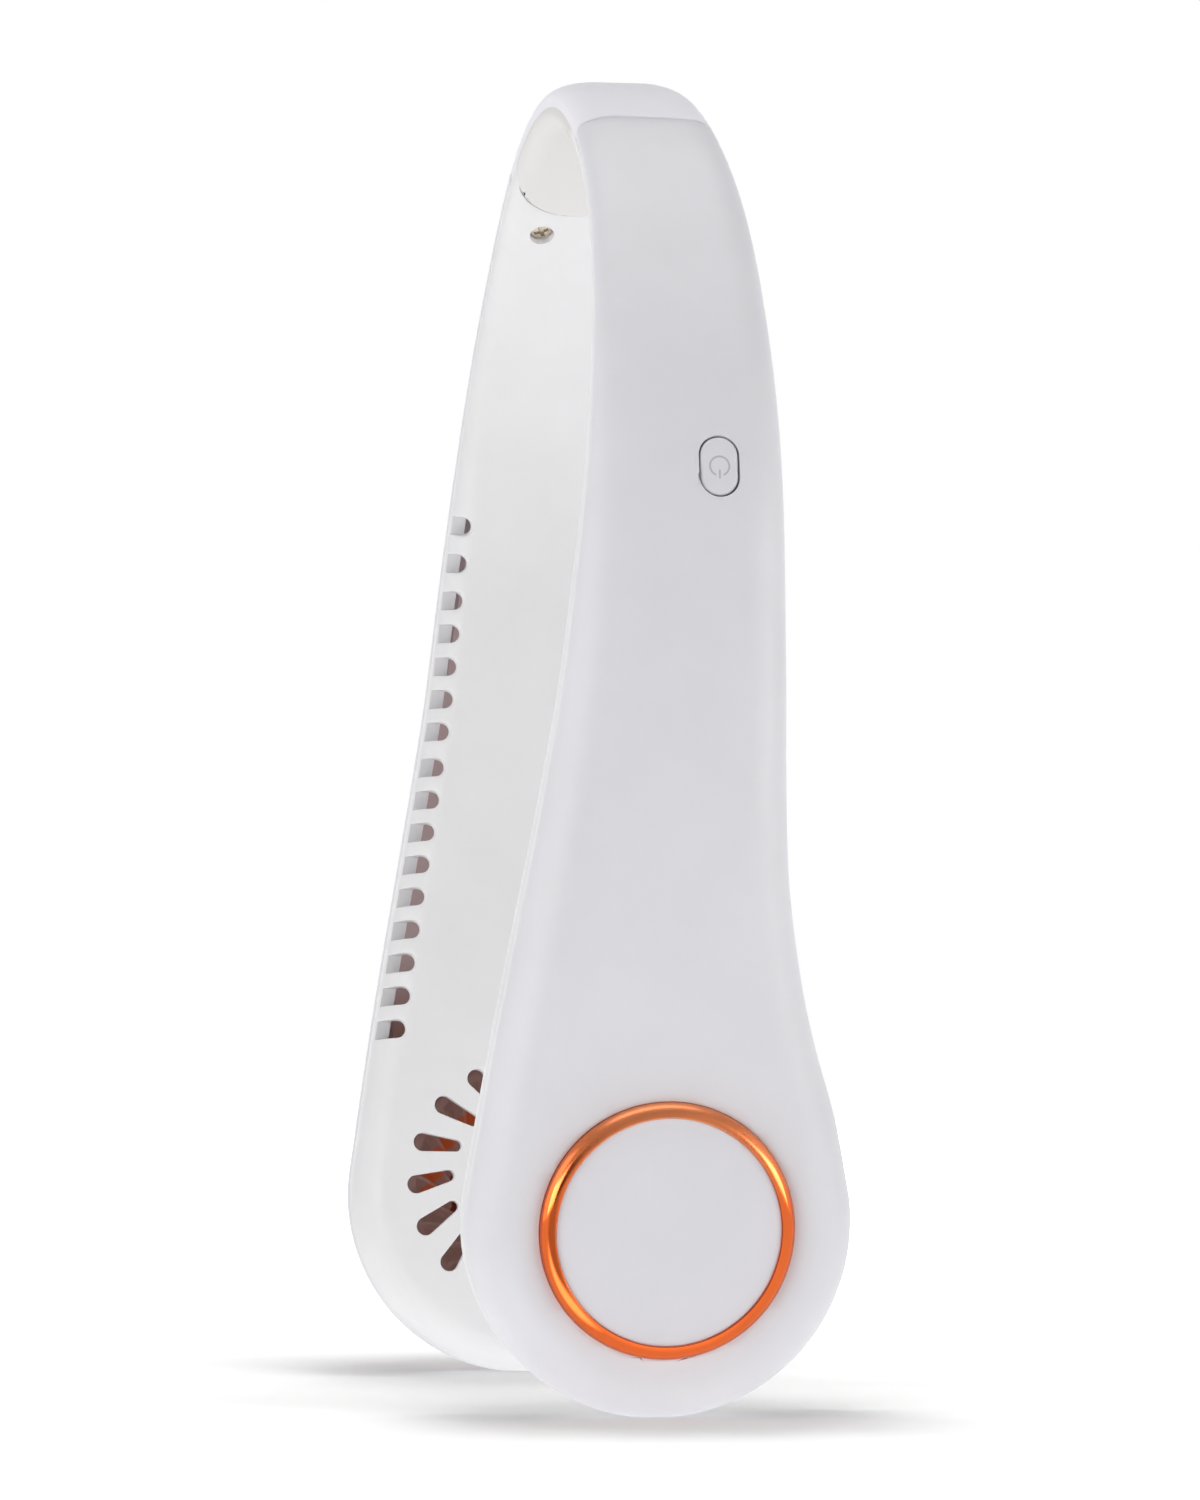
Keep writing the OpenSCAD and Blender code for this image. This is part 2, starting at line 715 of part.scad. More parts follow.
module rotor(side = 1) {
    color("silver")
    at_motor(side) {
        disc(rotor_r, cup_floor_h - cup_t, cup_floor_h);
        tube(rotor_r, rotor_r - cup_t / 2, cup_floor_h - cup_t / 2, cup_rim_h);
    }
}

module magnet(side = 1) {
    color("dimgray")
    at_motor(side)
        tube(rotor_r - cup_t / 2 - seat / 2, rotor_r - cup_t / 2 - seat / 2 - magnet_t,
            cup_floor_h + seat, cup_rim_h - seat);
}

// The blades lean forward along arcs, between the back plate and the rim at the intake
blade_steps = 4;
blade_t = 0.7;
blade_inner_r = 14.5;
blade_sweep = 16;
module blade() {
    function mid(i) = let(u = i / blade_steps, r = blade_inner_r
        + (impeller_r - blade_t - blade_inner_r) * u, a = blade_sweep * (1 - (1 - u) ^ 2))
        [r * cos(a), r * sin(a)];
    linear_extrude(blade_h + impeller_back_t / 2)
        polygon(concat([for (i = [0:blade_steps]) mid(i)],
            [for (i = [blade_steps:-1:0]) mid(i) + [0, blade_t]]));
}
module impeller(side = 1) {
    hub_end_h = cup_floor_h - cup_t - seat - hub_t;
    color("saddlebrown")
    at_motor(side) {
        rotate_extrude($fn = fine)
            polygon([[0, hub_end_h], [hub_r - hub_t, hub_end_h], [hub_r, hub_end_h + hub_t],
                [blade_inner_r + hub_t, blade_top_h], [impeller_r, blade_top_h],
                [impeller_r, impeller_back_h], [hub_r - hub_t, impeller_back_h],
                [hub_r - hub_t, hub_end_h + hub_t], [0, hub_end_h + hub_t]]);
        for (i = [0:blade_count - 1])
            rotate(360 / blade_count * i)
                translate([0, 0, blade_foot_h])
                    blade();
        tube(impeller_r, impeller_r - 2 * blade_t, blade_foot_h, blade_foot_h + blade_t);
    }
}

// The cell lies beside the duct, against the outer shell
battery_len = 38;
battery_gap = 4.4;
battery_x = 2.2;
battery_w = 10.6;
battery_t = 8;
battery_lip = 0.8;
battery_end_s = board_s - battery_gap;
battery_s = battery_end_s - 2 * battery_lip - battery_len;
module battery() {
    mid_s = battery_s + battery_len / 2;
    end_s = battery_s + battery_len;
    top_h = depth(1, end_s) - wall - seam_gap - plane_h(mid_s, end_s);
    color("steelblue")
    at_station(mid_s, battery_x)
        translate([0, -battery_len / 2, top_h - battery_t]) {
            cube([battery_w, battery_len, battery_t]);
            translate([battery_lip, battery_len, battery_lip])
                cube([battery_w - 2 * battery_lip, 2 * battery_lip, battery_t - 2 * battery_lip]);
        }
}

// Flat ribbons of wire: from the bridge down to the board or cell, and from the motor up to it
wire_t = 1.2;
wire_left = 2;
wire_right = 7;
wire_low_h = 0.5;
lead_x = battery_x - wire_t - 2 * seat;
lead_end_s = board_s + 2 * wire_t;
lead_h = plane_h(board_mid_s, lead_end_s) + board_top_h - board_t - seat - wire_t;
bridge_end_gap = 6;
wire_rings = 12;
module arm_wires(end_s, motor_lead_end) {
    low = function(s) wire_low_h;
    high = function(s) wire_low_h + wire_t;
    left = function(s) wire_left;
    right = function(s) wire_right;
    lead_left = function(s) lead_x;
    lead_right = function(s) lead_x + wire_t;
    lead_low = function(s) lead_h;
    lead_high = function(s) lead_h + wire_t;
    color("firebrick") {
        strip(left, right, low, high, end_s, seam_s - bridge_end_gap - seam_gap, wire_rings);
        strip(lead_left, lead_right, lead_low, lead_high, motor_s + volute_r + duct_wall + seam_gap,
            motor_lead_end, wire_rings);
    }
}

module circuit_board() {
    color("darkgreen")
    at_station(board_mid_s, board_x)
        translate([0, -board_len / 2, board_top_h - board_t])
            cube([board_w, board_len, board_t]);
}

module button_switch() {
    color("dimgray")
    on_board(button_x, button_s)
        difference() {
            translate([-switch_w / 2, -switch_w / 2, 0])
                cube([switch_w, switch_w, switch_h]);
            disc(plunger_r + plunger_gap, switch_bore_h, switch_h + overrun);
        }
}
module switch_plunger() {
    color("black")
    on_board(button_x, button_s)
        disc(plunger_r, plunger_end_h, plunger_top_h);
}
module status_led() {
    led_w = 1.6;
    led_h = 0.7;
    color("lightyellow")
    on_board(button_x, button_s + switch_w / 2 + led_w)
        translate([-led_w / 2, -led_w / 4, 0])
            cube([led_w, led_w / 2, led_h]);
}

module power_button() {
    color("whitesmoke")
    at_station(button_s, button_x) {
        pill(button_w, button_len, button_flange_h - overrun, button_face_h);
        pill(button_w + 2 * button_flange, button_len + 2 * button_flange,
            button_flange_h - button_flange_t, button_flange_h);
        disc(button_stem_r, plunger_top_h + seat, button_flange_h);
    }
}

module charge_port_shell() {
    color("silver")
    at_port()
        difference() {
            pill(port_t, port_w, -port_len, 0);
            pill(port_t - 2 * port_wall, port_w - 2 * port_wall, port_wall - port_len, overrun);
        }
}
module charge_port_tongue() {
    tongue_w = 6.7;
    tongue_t = 0.7;
    color("black")
    at_port()
        translate([-tongue_t / 2, -tongue_w / 2, port_wall - port_len])
            cube([tongue_t, tongue_w, port_len - 2 * port_wall]);
}

// The bridge: a soft sleeve over the outer side, a soft liner on the neck side, a spring band in it
split_h = -0.45;
band_t = 0.6;
band_left = -4.8;
band_right = 10.5;
band_clearance = 0.3;
// A level of the neck side's edge below a rim
function lower_level(j, s, rim) = let(h = rim - (depth(-1, s) + rim) * sin(90 * j / (levels - 1)))
    [inset_at(-1, s, h), h];
module bridge_half(out, rim, proud, s_from, grow = 0) {
    rings = [for (q = over_crown(s_from)) let(s = q[0])
        [for (k = [0:2 * levels - 1]) let(j = k < levels ? k : 2 * levels - 1 - k,
            v = out < 0 ? lower_level(j, s, rim) : level(j, levels, out, s, 0, rim),
            h = j == levels - 1 ? v[1] - proud : v[1])
            contour_spot(k < levels ? -1 : 1, s, v[0] - grow, h, q[1])]];
    loft(rings, out < 0);
}
module bridge_sleeve() {
    color("gainsboro")
    difference() {
        bridge_half(1, split_h, 0, seam_s - overrun);
        band(band_left - band_clearance, band_right + band_clearance,
            -band_t / 2 - band_clearance, wire_low_h + wire_t + band_clearance, seam_s - 2 * overrun);
        for (arm = [0, 1])
            mirror([0, arm, 0])
                before(seam_s + seam_gap / 2);
    }
}
// All of the arm that lies before a station, down to a height
module before(s, low = -reach) {
    at_station(s)
        translate([-reach, -reach, low])
            cube([2 * reach, reach, 2 * reach]);
}
liner_in = 0.9;
liner_end_s = seam_s - liner_lap;
// What the rounded corners of a liner's end leave free
module liner_corners(grow) {
    r = liner_corner_r + grow;
    for (side = [-1, 1])
        at_station(liner_end_s)
            mirror([side < 0 ? 1 : 0, 0, 0])
                translate([half_width(side, liner_end_s + r / 2) - liner_corner_r, -grow, -bulb_inner_depth])
                    linear_extrude(bulb_inner_depth + overrun)
                        difference() {
                            translate([0, -overrun])
                                square([reach, r + overrun]);
                            translate([0, r])
                                circle(r = r, $fn = 2 * fine);
                        }
}
module liner_seat() {
    // The shell is let in to take the liner's lap, with the seam's gap all round
    difference() {
        bridge_half(-1, split_h, liner_proud + overrun, liner_end_s - seam_gap, seam_gap);
        liner_corners(seam_gap);
        at_station(seam_s)
            translate([-reach, -reach, liner_in - depth(-1, seam_s)])
                cube([2 * reach, 2 * reach, reach]);
    }
}
// The inner shell's edges run on past the seam, round the liner's corners
module liner_ears() {
    intersection() {
        bridge_half(-1, split_h - parting_gap, 0, seam_s - wall);
        liner_corners(seam_gap);
    }
}
module bridge_liner() {
    color("ivory")
    difference() {
        bridge_half(-1, split_h - parting_gap, liner_proud, liner_end_s, liner_side_proud);
        for (arm = [0, 1])
            mirror([0, arm, 0]) {
                before(seam_s + seam_gap / 2, -depth(-1, seam_s) + liner_in - seam_gap);
                liner_corners(0);
            }
    }
}
module spring_band() {
    // Each end is holed to pass the screw post of its arm
    color("lightsteelblue")
    difference() {
        band(band_left, band_right, -band_t / 2, band_t / 2, screw_spots[0][1] - 2 * screw_post_r);
        for (arm = [0, 1])
            mirror([0, arm, 0])
                at_station(screw_spots[0][1], screw_spots[0][0])
                    disc(screw_post_r + band_clearance, -overrun, overrun);
    }
}
module bridge_wires() {
    color("firebrick")
    band(wire_left, wire_right, wire_low_h, wire_low_h + wire_t, seam_s - bridge_end_gap);
}

bridge_sleeve();
bridge_liner();
spring_band();
bridge_wires();
outer_shell(true);  // button_arm_outer_shell
inner_shell(true);  // button_arm_inner_shell
trim_ring();  // button_arm_trim_ring
face_disc();  // button_arm_disc
air_duct();  // button_arm_air_duct
stator();  // button_arm_stator
bearing();  // button_arm_bearing
battery();  // button_arm_battery
screws();  // button_arm_screws
arm_wires(board_end_s + seat, lead_end_s);  // button_arm_wires
circuit_board();
button_switch();
status_led();
charge_port_shell();
charge_port_tongue();
power_button();
switch_plunger();
impeller();  // button_arm_impeller
rotor();  // button_arm_rotor
magnet();  // button_arm_magnet
shaft();  // button_arm_shaft
other_arm() outer_shell(false);  // plain_arm_outer_shell
other_arm() inner_shell(false);  // plain_arm_inner_shell
other_fan() trim_ring();  // plain_arm_trim_ring
other_fan() face_disc();  // plain_arm_disc
other_arm() air_duct();  // plain_arm_air_duct
other_fan() stator(-1);  // plain_arm_stator
other_fan() bearing(-1);  // plain_arm_bearing
other_arm() battery();  // plain_arm_battery
other_arm() screws();  // plain_arm_screws
other_arm() arm_wires(battery_end_s + 2 * seat, battery_end_s);  // plain_arm_wires
other_fan() impeller(-1);  // plain_arm_impeller
other_fan() rotor(-1);  // plain_arm_rotor
other_fan() magnet(-1);  // plain_arm_magnet
other_fan() shaft(-1);  // plain_arm_shaft
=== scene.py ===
import math

import bmesh
import bpy
from bpy.props import FloatProperty, FloatVectorProperty, PointerProperty
from mathutils import Matrix, Vector


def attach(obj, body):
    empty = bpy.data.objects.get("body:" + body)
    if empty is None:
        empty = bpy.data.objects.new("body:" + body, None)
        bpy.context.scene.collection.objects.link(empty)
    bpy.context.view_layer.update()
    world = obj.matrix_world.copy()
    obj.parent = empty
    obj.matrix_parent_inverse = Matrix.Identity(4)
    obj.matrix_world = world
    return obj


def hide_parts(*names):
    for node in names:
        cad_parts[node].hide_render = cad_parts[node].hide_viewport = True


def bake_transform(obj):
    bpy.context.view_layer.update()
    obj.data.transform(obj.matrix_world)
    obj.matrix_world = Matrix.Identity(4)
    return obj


bl_info = {
    "name": "Electric neck fan",
    "version": (1, 0, 0),
    "blender": (4, 5, 0),
    "location": "View3D > Sidebar > Neck fan",
    "description": "Dresses the neck fan's CAD frame with detailed pieces, finishes and a studio",
    "category": "Object",
}

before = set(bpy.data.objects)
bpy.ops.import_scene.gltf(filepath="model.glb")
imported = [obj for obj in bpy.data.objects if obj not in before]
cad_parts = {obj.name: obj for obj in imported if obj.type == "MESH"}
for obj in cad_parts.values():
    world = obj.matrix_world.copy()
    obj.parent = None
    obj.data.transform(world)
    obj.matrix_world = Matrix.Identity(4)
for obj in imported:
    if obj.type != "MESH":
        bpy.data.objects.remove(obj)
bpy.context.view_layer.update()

MM = 0.001

# ---------------------------------------------------------------- the arm's shape, in millimetres

BULB_R = 32.0
ARM_LEAN = 6.0
REST_FLAT = 0.2
ARCH_HALF_SPAN = 71.6
ARCH_SPRING_Z = 140.0
ARCH_RISE = 83.0
UPRIGHT_LEN = 14.0
LEAN_TURN_R = 383.0
BRIDGE_W = 22.1
BRIDGE_SHIFT = 3.7
BRIDGE_HALF_LEN = 36.4
BULB_DEPTHS = {1: 10.0, -1: 10.5}
BRIDGE_DEPTHS = {1: 4.0, -1: 4.0}
EDGE_BASES = {1: 6.5, -1: 3.0}
EDGE_SHARES = {1: 0.15, -1: 0.25}
SIDE_SHARE = 0.25
JOIN_ANGLE = 8.0
WALL = 1.8
PARTING_GAP = 0.08
SEAM_GAP = 0.3
SPLIT_H = -0.45
# Share of the climb, then the share of the round end's extra width on the -X and the +X side
WIDTH_ROWS = [
    (0, 1, 1), (0.07, 0.913, 0.84), (0.13, 0.836, 0.639), (0.18, 0.768, 0.504),
    (0.24, 0.684, 0.392), (0.29, 0.612, 0.331), (0.37, 0.501, 0.302), (0.45, 0.399, 0.299),
    (0.56, 0.293, 0.29), (0.67, 0.193, 0.272), (0.77, 0.117, 0.227), (0.88, 0.045, 0.157),
    (1, 0, 0),
]

LEAN = math.radians(ARM_LEAN)
TURN_Z = ARCH_SPRING_Z - UPRIGHT_LEN
LEAN_END_Y = ARCH_HALF_SPAN - LEAN_TURN_R * (1 - math.cos(LEAN))
LEAN_END_Z = TURN_Z - LEAN_TURN_R * math.sin(LEAN)
FAN_Z = BULB_R * math.cos(LEAN) + SIDE_SHARE * BULB_DEPTHS[1] * math.sin(LEAN) - REST_FLAT
TURN_START = (LEAN_END_Z - FAN_Z) / math.cos(LEAN)
TURN_LEN = LEAN_TURN_R * LEAN
UPRIGHT_START = TURN_START + TURN_LEN
ARCH_START = UPRIGHT_START + UPRIGHT_LEN
ARCH_LEN = math.pi / 4 * (
    3 * (ARCH_HALF_SPAN + ARCH_RISE)
    - math.sqrt((3 * ARCH_HALF_SPAN + ARCH_RISE) * (ARCH_HALF_SPAN + 3 * ARCH_RISE))
)
CROWN_S = ARCH_START + ARCH_LEN
CROWN_Z = ARCH_SPRING_Z + ARCH_RISE
SEAM_S = CROWN_S - BRIDGE_HALF_LEN
JOIN_S = BULB_R * math.sin(math.radians(JOIN_ANGLE))
JOIN_Z = FAN_Z + JOIN_S * math.cos(LEAN)
JOIN_X = BULB_R * math.cos(math.radians(JOIN_ANGLE))
BRIDGE_SIDES = {-1: BRIDGE_W / 2 - BRIDGE_SHIFT, 1: BRIDGE_W / 2 + BRIDGE_SHIFT}
TAPER_Z = 2 * BULB_R


# ---------------------------------------------------------------- the pieces, in millimetres

RING_R = 21.1
POCKET_H = 8.4
PLATE_H = 6.8
PLATE_TOP = 9.1
RING_GAP = 0.04
RING_RISE = 2.3
RING_BEVEL = 0.1
# Slope of the ring's top across its width, from the disc's side to its outer side
RING_SLOPES = (math.radians(7), math.radians(64))
RING_CURVE = 1.4
DISC_RISE = 1.9
MOTOR_X = 0.2
MOTOR_S = 1.5
BUTTON_S = 122.1
BUTTON_X = 8.2
BUTTON_W = 6.2
BUTTON_LEN = 9.7
BUTTON_GAP = 0.3
BUTTON_SUNK = 0.25
BUTTON_ROUND = 0.45
SYMBOL_R = 1.6
SYMBOL_LINE = 0.32
SCREW_RECESS_R = 2.2
SCREW_HOLE_R = 1.05
SCREW_SEAT_H = -2.2
SCREW_POST_H = -1.1
SCREWS = ((SEAM_S - 11.0, -1.1), (46.0, 14.0))
LINER_LAP = 5.1
LINER_PROUD = 0.5
LINER_IN = 0.9
LINER_CORNER_R = 11.5
LINER_SIDE = 0.35
# The gaps under the liner's lap and round its end
LINER_SEAT_GAP = 0.03
LAP_GAP = 0.4
# The inner shell's edges past the seam: how far they reach under the liner's corners, and how far on
EAR_LAP = 0.3
EAR_LEN = 9.0
LINER_END_S = SEAM_S - LINER_LAP
LINER_RIM = SPLIT_H - 0.02
BOARD_MID_S = 121.0
PORT_S = 108.0
PORT_H = -2.63
PORT_W = 8.94
PORT_T = 3.26
PORT_GAP = 0.25
# Left, right, low and high of the sleeve's hollow and of the spring band
SLEEVE_HOLLOW = (-5.1, 10.8, -0.6, 2.0)
BAND = (-4.8, 10.5, -0.3, 0.3)
WIRES_LEFT = 2.0
WIRES_H = 1.1
WIRE_W = 1.25
WIRE_R = 0.6
# The height in metres put on the start and end points of each bridge half, which nothing then uses
BEND_Z = 0.215
SLOT_COUNT = 16
SLOT_W = 3.4
SLOT_PITCH = 6.04
SLOT_RIB = 0.66
SLOT_FIRST = 29.65
SLOT_REACH = (4.85, 3.35)
RIB_SLOTS = (9, 14, 15)
# A lip's ring in shares of its radius: how far outside the cut it lies, and how deep under the skin
LIP_ROWS = ((0.0, 1.0), (0.22, 0.42), (1.3, -0.42))
LIP_START = 0.25
# Shares of the shell's depth at which the outlet slots and their lips end, and at which the ledge starts
SLOT_TO = 0.42
LIP_TO = 0.45
LEDGE_FROM = 0.72
LEDGE_T = 0.65
LEDGE_SUNK = 0.3
LEDGE_TOP = -0.4
INTAKE_COUNT = 17
INTAKE_OUTER_R = 21.05
INTAKE_INNER_R = 15.2
INTAKE_WIDE = 3.3
INTAKE_NARROW = 2.1
INTAKE_SWIRL = math.radians(5.2)
INTAKE_TURN = math.radians(11.8)
INTAKE_SHIFT = (-0.5, 0.35)
INTAKE_TURNS = [2 * math.pi / INTAKE_COUNT * i + INTAKE_TURN for i in range(INTAKE_COUNT)]


def clamp(t):
    return min(1.0, max(0.0, t))


def ease(t):
    t = clamp(t)
    return t * t * (3 - 2 * t)


def arch_turn(s):
    return math.pi / 2 * (s - ARCH_START) / ARCH_LEN


def lean_at(s):
    return LEAN * (1 - clamp((s - TURN_START) / TURN_LEN))


def tilt(s):
    """How far the outward normal of the arm's centre line points up, at s along the arm."""
    if s < ARCH_START:
        return -lean_at(s)
    a = arch_turn(s)
    return math.atan2(math.sin(a) / ARCH_RISE, math.cos(a) / ARCH_HALF_SPAN)


def line_y(s):
    if s < TURN_START:
        return LEAN_END_Y - (TURN_START - s) * math.sin(LEAN)
    if s < ARCH_START:
        return ARCH_HALF_SPAN - LEAN_TURN_R * (1 - math.cos(lean_at(s)))
    return ARCH_HALF_SPAN * math.cos(arch_turn(s))


def line_z(s):
    if s < TURN_START:
        return LEAN_END_Z - (TURN_START - s) * math.cos(LEAN)
    if s < UPRIGHT_START:
        return TURN_Z - LEAN_TURN_R * math.sin(lean_at(s))
    if s < ARCH_START:
        return TURN_Z + s - UPRIGHT_START
    return ARCH_SPRING_Z + ARCH_RISE * math.sin(arch_turn(s))


def width_share(t, column):
    """A cubic curve through the rows of widths."""
    rows, last = WIDTH_ROWS, len(WIDTH_ROWS) - 1
    i = 0
    while i < last - 1 and t >= rows[i + 1][0]:
        i += 1

    def slope(k):
        a, b = rows[max(k - 1, 0)], rows[min(k + 1, last)]
        return (b[column] - a[column]) / (b[0] - a[0])

    p, q = rows[i], rows[i + 1]
    w = q[0] - p[0]
    u = (t - p[0]) / w
    return (
        p[column] * (1 + 2 * u) * (1 - u) ** 2 + slope(i) * w * u * (1 - u) ** 2
        + q[column] * u * u * (3 - 2 * u) + slope(i + 1) * w * u * u * (u - 1)
    )


def half_width(side, s):
    climb = clamp((line_z(s) - JOIN_Z) / (CROWN_Z - JOIN_Z))
    base = BRIDGE_SIDES[side]
    return base + (JOIN_X - base) * width_share(climb, 1 if side < 0 else 2)


def width_slope(side, s):
    if s <= JOIN_S:
        return -math.tan(math.radians(JOIN_ANGLE))
    if s >= CROWN_S - 1e-6:
        return 0.0
    return (half_width(side, s + 1) - half_width(side, s - 1)) / 2


def depth(out, s):
    taper = ease((line_z(s) - TAPER_Z) / (CROWN_Z - TAPER_Z))
    return BULB_DEPTHS[out] + (BRIDGE_DEPTHS[out] - BULB_DEPTHS[out]) * taper


def edge_w(out, s):
    return EDGE_BASES[out] + EDGE_SHARES[out] * depth(out, s)


def inset_at(out, s, h):
    d = depth(out, s)
    rise = clamp((abs(h) / d - SIDE_SHARE) / (1 - SIDE_SHARE))
    return edge_w(out, s) * (1 - math.cos(math.asin(rise)))


def spot(x, s, h, arm=-1):
    """A point of the fan, in metres: x across the arm, s along it, h outwards."""
    t = tilt(s)
    return Vector(
        (x, arm * (line_y(s) + math.cos(t) * h), line_z(s) + math.sin(t) * h)
    ) * MM


def station(s, x=0.0, arm=-1):
    """The local frame of a station: x across the arm, y along it, z outwards, in metres."""
    m = Matrix.Translation((x * MM, -line_y(s) * MM, line_z(s) * MM)) @ Matrix.Rotation(
        math.pi / 2 - tilt(s), 4, "X"
    )
    return (Matrix.Scale(-1, 4, (0, 1, 0)) @ m) if arm > 0 else m


def fan_station(arm=-1):
    """The frame of a round end's ring and disc. The other arm's unit is turned about, not mirrored."""
    m = station(0)
    return (Matrix.Rotation(math.pi, 4, "Z") @ m) if arm > 0 else m


def edge_levels(out, s, rim, count=12):
    """Inset and height of the points down one edge, from the rim up to the face."""
    d, e = depth(out, s), edge_w(out, s)
    rows = [(0.0, rim)]
    for k in range(count):
        a = math.pi / 2 * k / (count - 1)
        rise = SIDE_SHARE + (1 - SIDE_SHARE) * math.sin(a)
        rows.append((e * (1 - math.cos(a)), out * d * rise))
    return rows


def arc(x, y, r, start, span, steps):
    """Points along an arc, from a start angle over a span."""
    return [
        (x + r * math.cos(a), y + r * math.sin(a))
        for a in (start + span * k / steps for k in range(steps + 1))
    ]


def box(left, right, low, high):
    return [(left, low), (right, low), (right, high), (left, high)]


def circle(r, steps):
    return arc(0, 0, r, 0, 2 * math.pi, steps)[:-1]


def pill(w, length, steps):
    """The outline of a pill, its length along y."""
    r, reach = w / 2, (length - w) / 2
    return arc(0, reach, r, 0, math.pi, steps) + arc(0, -reach, r, math.pi, math.pi, steps)


def over_face(left, right, count):
    """Points between the ends of the two edges, across the face."""
    return [
        tuple(a + (b - a) * k / count for a, b in zip(left, right)) for k in range(1, count)
    ]


def down_the_edge(side, s, levels):
    """The points of one edge as (x, s, h), from rows of inset and height."""
    m = width_slope(side, s)
    c = 1 / math.sqrt(1 + m * m)
    return [(side * (half_width(side, s) - inset * c), s + inset * m * c, h) for inset, h in levels]


def skin_ring(out, at, rim):
    """One ring over a shell as (x, s, h), -X rim to +X rim; at is ('bulb', angle) or ('arm', s)."""
    kind, value = at
    ring = {}
    for side in (-1, 1):
        if kind == "bulb":
            ring[side] = [
                (side * (BULB_R - inset) * math.sin(value), (inset - BULB_R) * math.cos(value), h)
                for inset, h in edge_levels(out, 0.0, rim)
            ]
        else:
            ring[side] = down_the_edge(side, value, edge_levels(out, value, rim))
    return ring[-1] + over_face(ring[-1][-1], ring[1][-1], 12) + ring[1][::-1]


# ---------------------------------------------------------------- modelling helpers


def deselect():
    if bpy.context.object and bpy.context.object.mode != "OBJECT":
        bpy.ops.object.mode_set(mode="OBJECT")
    bpy.ops.object.select_all(action="DESELECT")


def activate(obj):
    deselect()
    obj.select_set(True)
    bpy.context.view_layer.objects.active = obj
    return obj


def edit(obj, steps):
    """Runs the edit-mode steps on the whole of one piece."""
    activate(obj)
    bpy.ops.object.mode_set(mode="EDIT")
    bpy.ops.mesh.select_all(action="SELECT")
    steps()
    bpy.ops.object.mode_set(mode="OBJECT")


def select_edges(obj, wanted):
    """Selects the edges for which wanted(bmesh edge) holds, in edit mode, and says how many."""
    bm = bmesh.from_edit_mesh(obj.data)
    bpy.ops.mesh.select_mode(type="EDGE")
    bpy.ops.mesh.select_all(action="DESELECT")
    chosen = [e for e in bm.edges if wanted(e)]
    for e in chosen:
        e.select_set(True)
    bm.select_flush_mode()
    bmesh.update_edit_mesh(obj.data)
    return len(chosen)


def apply_modifier(obj, kind, **values):
    activate(obj)
    m = obj.modifiers.new(kind.title(), kind)
    for key, value in values.items():
        setattr(m, key, value)
    bpy.ops.object.modifier_apply(modifier=m.name)


def face_outwards():
    bpy.ops.mesh.select_all(action="SELECT")
    bpy.ops.mesh.normals_make_consistent(inside=False)


def place(obj, matrix):
    """Moves a mesh; one that is mirrored on the way gets its faces turned back."""
    obj.data.transform(matrix)
    if matrix.determinant() < 0:

        def steps():
            bpy.ops.mesh.remove_doubles(threshold=1e-6)
            face_outwards()

        edit(obj, steps)


def laid_grid(name, points, closed=False, keep=lambda p: p):
    """A grid primitive laid over rows of points. A closed one is joined round and filled at its ends."""
    wide = len(points[0])
    rows, columns = len(points), wide + (1 if closed else 0)
    deselect()
    bpy.ops.mesh.primitive_grid_add(x_subdivisions=columns - 1, y_subdivisions=rows - 1, size=2)
    obj = bpy.context.object
    obj.name = obj.data.name = name
    for v in obj.data.vertices:
        i = round((v.co.x + 1) / 2 * (columns - 1))
        j = round((v.co.y + 1) / 2 * (rows - 1))
        v.co = keep(points[j][i % wide])

    def close():
        bpy.ops.mesh.remove_doubles(threshold=1e-7)
        for end in (points[0], points[-1]):
            near = {tuple(round(c, 6) for c in keep(p)) for p in end}
            if select_edges(obj, lambda e: e.is_boundary and all(
                    tuple(round(c, 6) for c in v.co) in near for v in e.verts)):
                bpy.ops.mesh.fill()
        face_outwards()

    if closed:
        edit(obj, close)
    return obj


def laid_circle(name, points, fill="NOTHING"):
    """A circle primitive laid over points in millimetres."""
    deselect()
    bpy.ops.mesh.primitive_circle_add(vertices=len(points), radius=1, fill_type=fill)
    obj = bpy.context.object
    obj.name = obj.data.name = name
    for v, (x, y, z) in zip(obj.data.vertices, points):
        v.co = (x * MM, y * MM, z * MM)
    return obj


def spun(name, profile, steps=128):
    """A turned piece: points (radius, height) in millimetres, spun about the local Z axis."""
    obj = laid_circle(name, [(r, 0, h) for r, h in profile])

    def turn():
        if profile[0][0] == 0 and profile[-1][0] == 0:
            bm = bmesh.from_edit_mesh(obj.data)
            bm.verts.ensure_lookup_table()
            bm.edges.remove(bm.edges.get((bm.verts[0], bm.verts[len(profile) - 1])))
            bmesh.update_edit_mesh(obj.data)
            bpy.ops.mesh.select_all(action="SELECT")
        bpy.ops.mesh.spin(
            steps=steps, angle=2 * math.pi, center=(0, 0, 0), axis=(0, 0, 1), use_auto_merge=True
        )
        bpy.ops.mesh.select_all(action="SELECT")
        bpy.ops.mesh.remove_doubles(threshold=1e-6)
        bpy.ops.mesh.normals_make_consistent(inside=False)

    edit(obj, turn)
    return obj


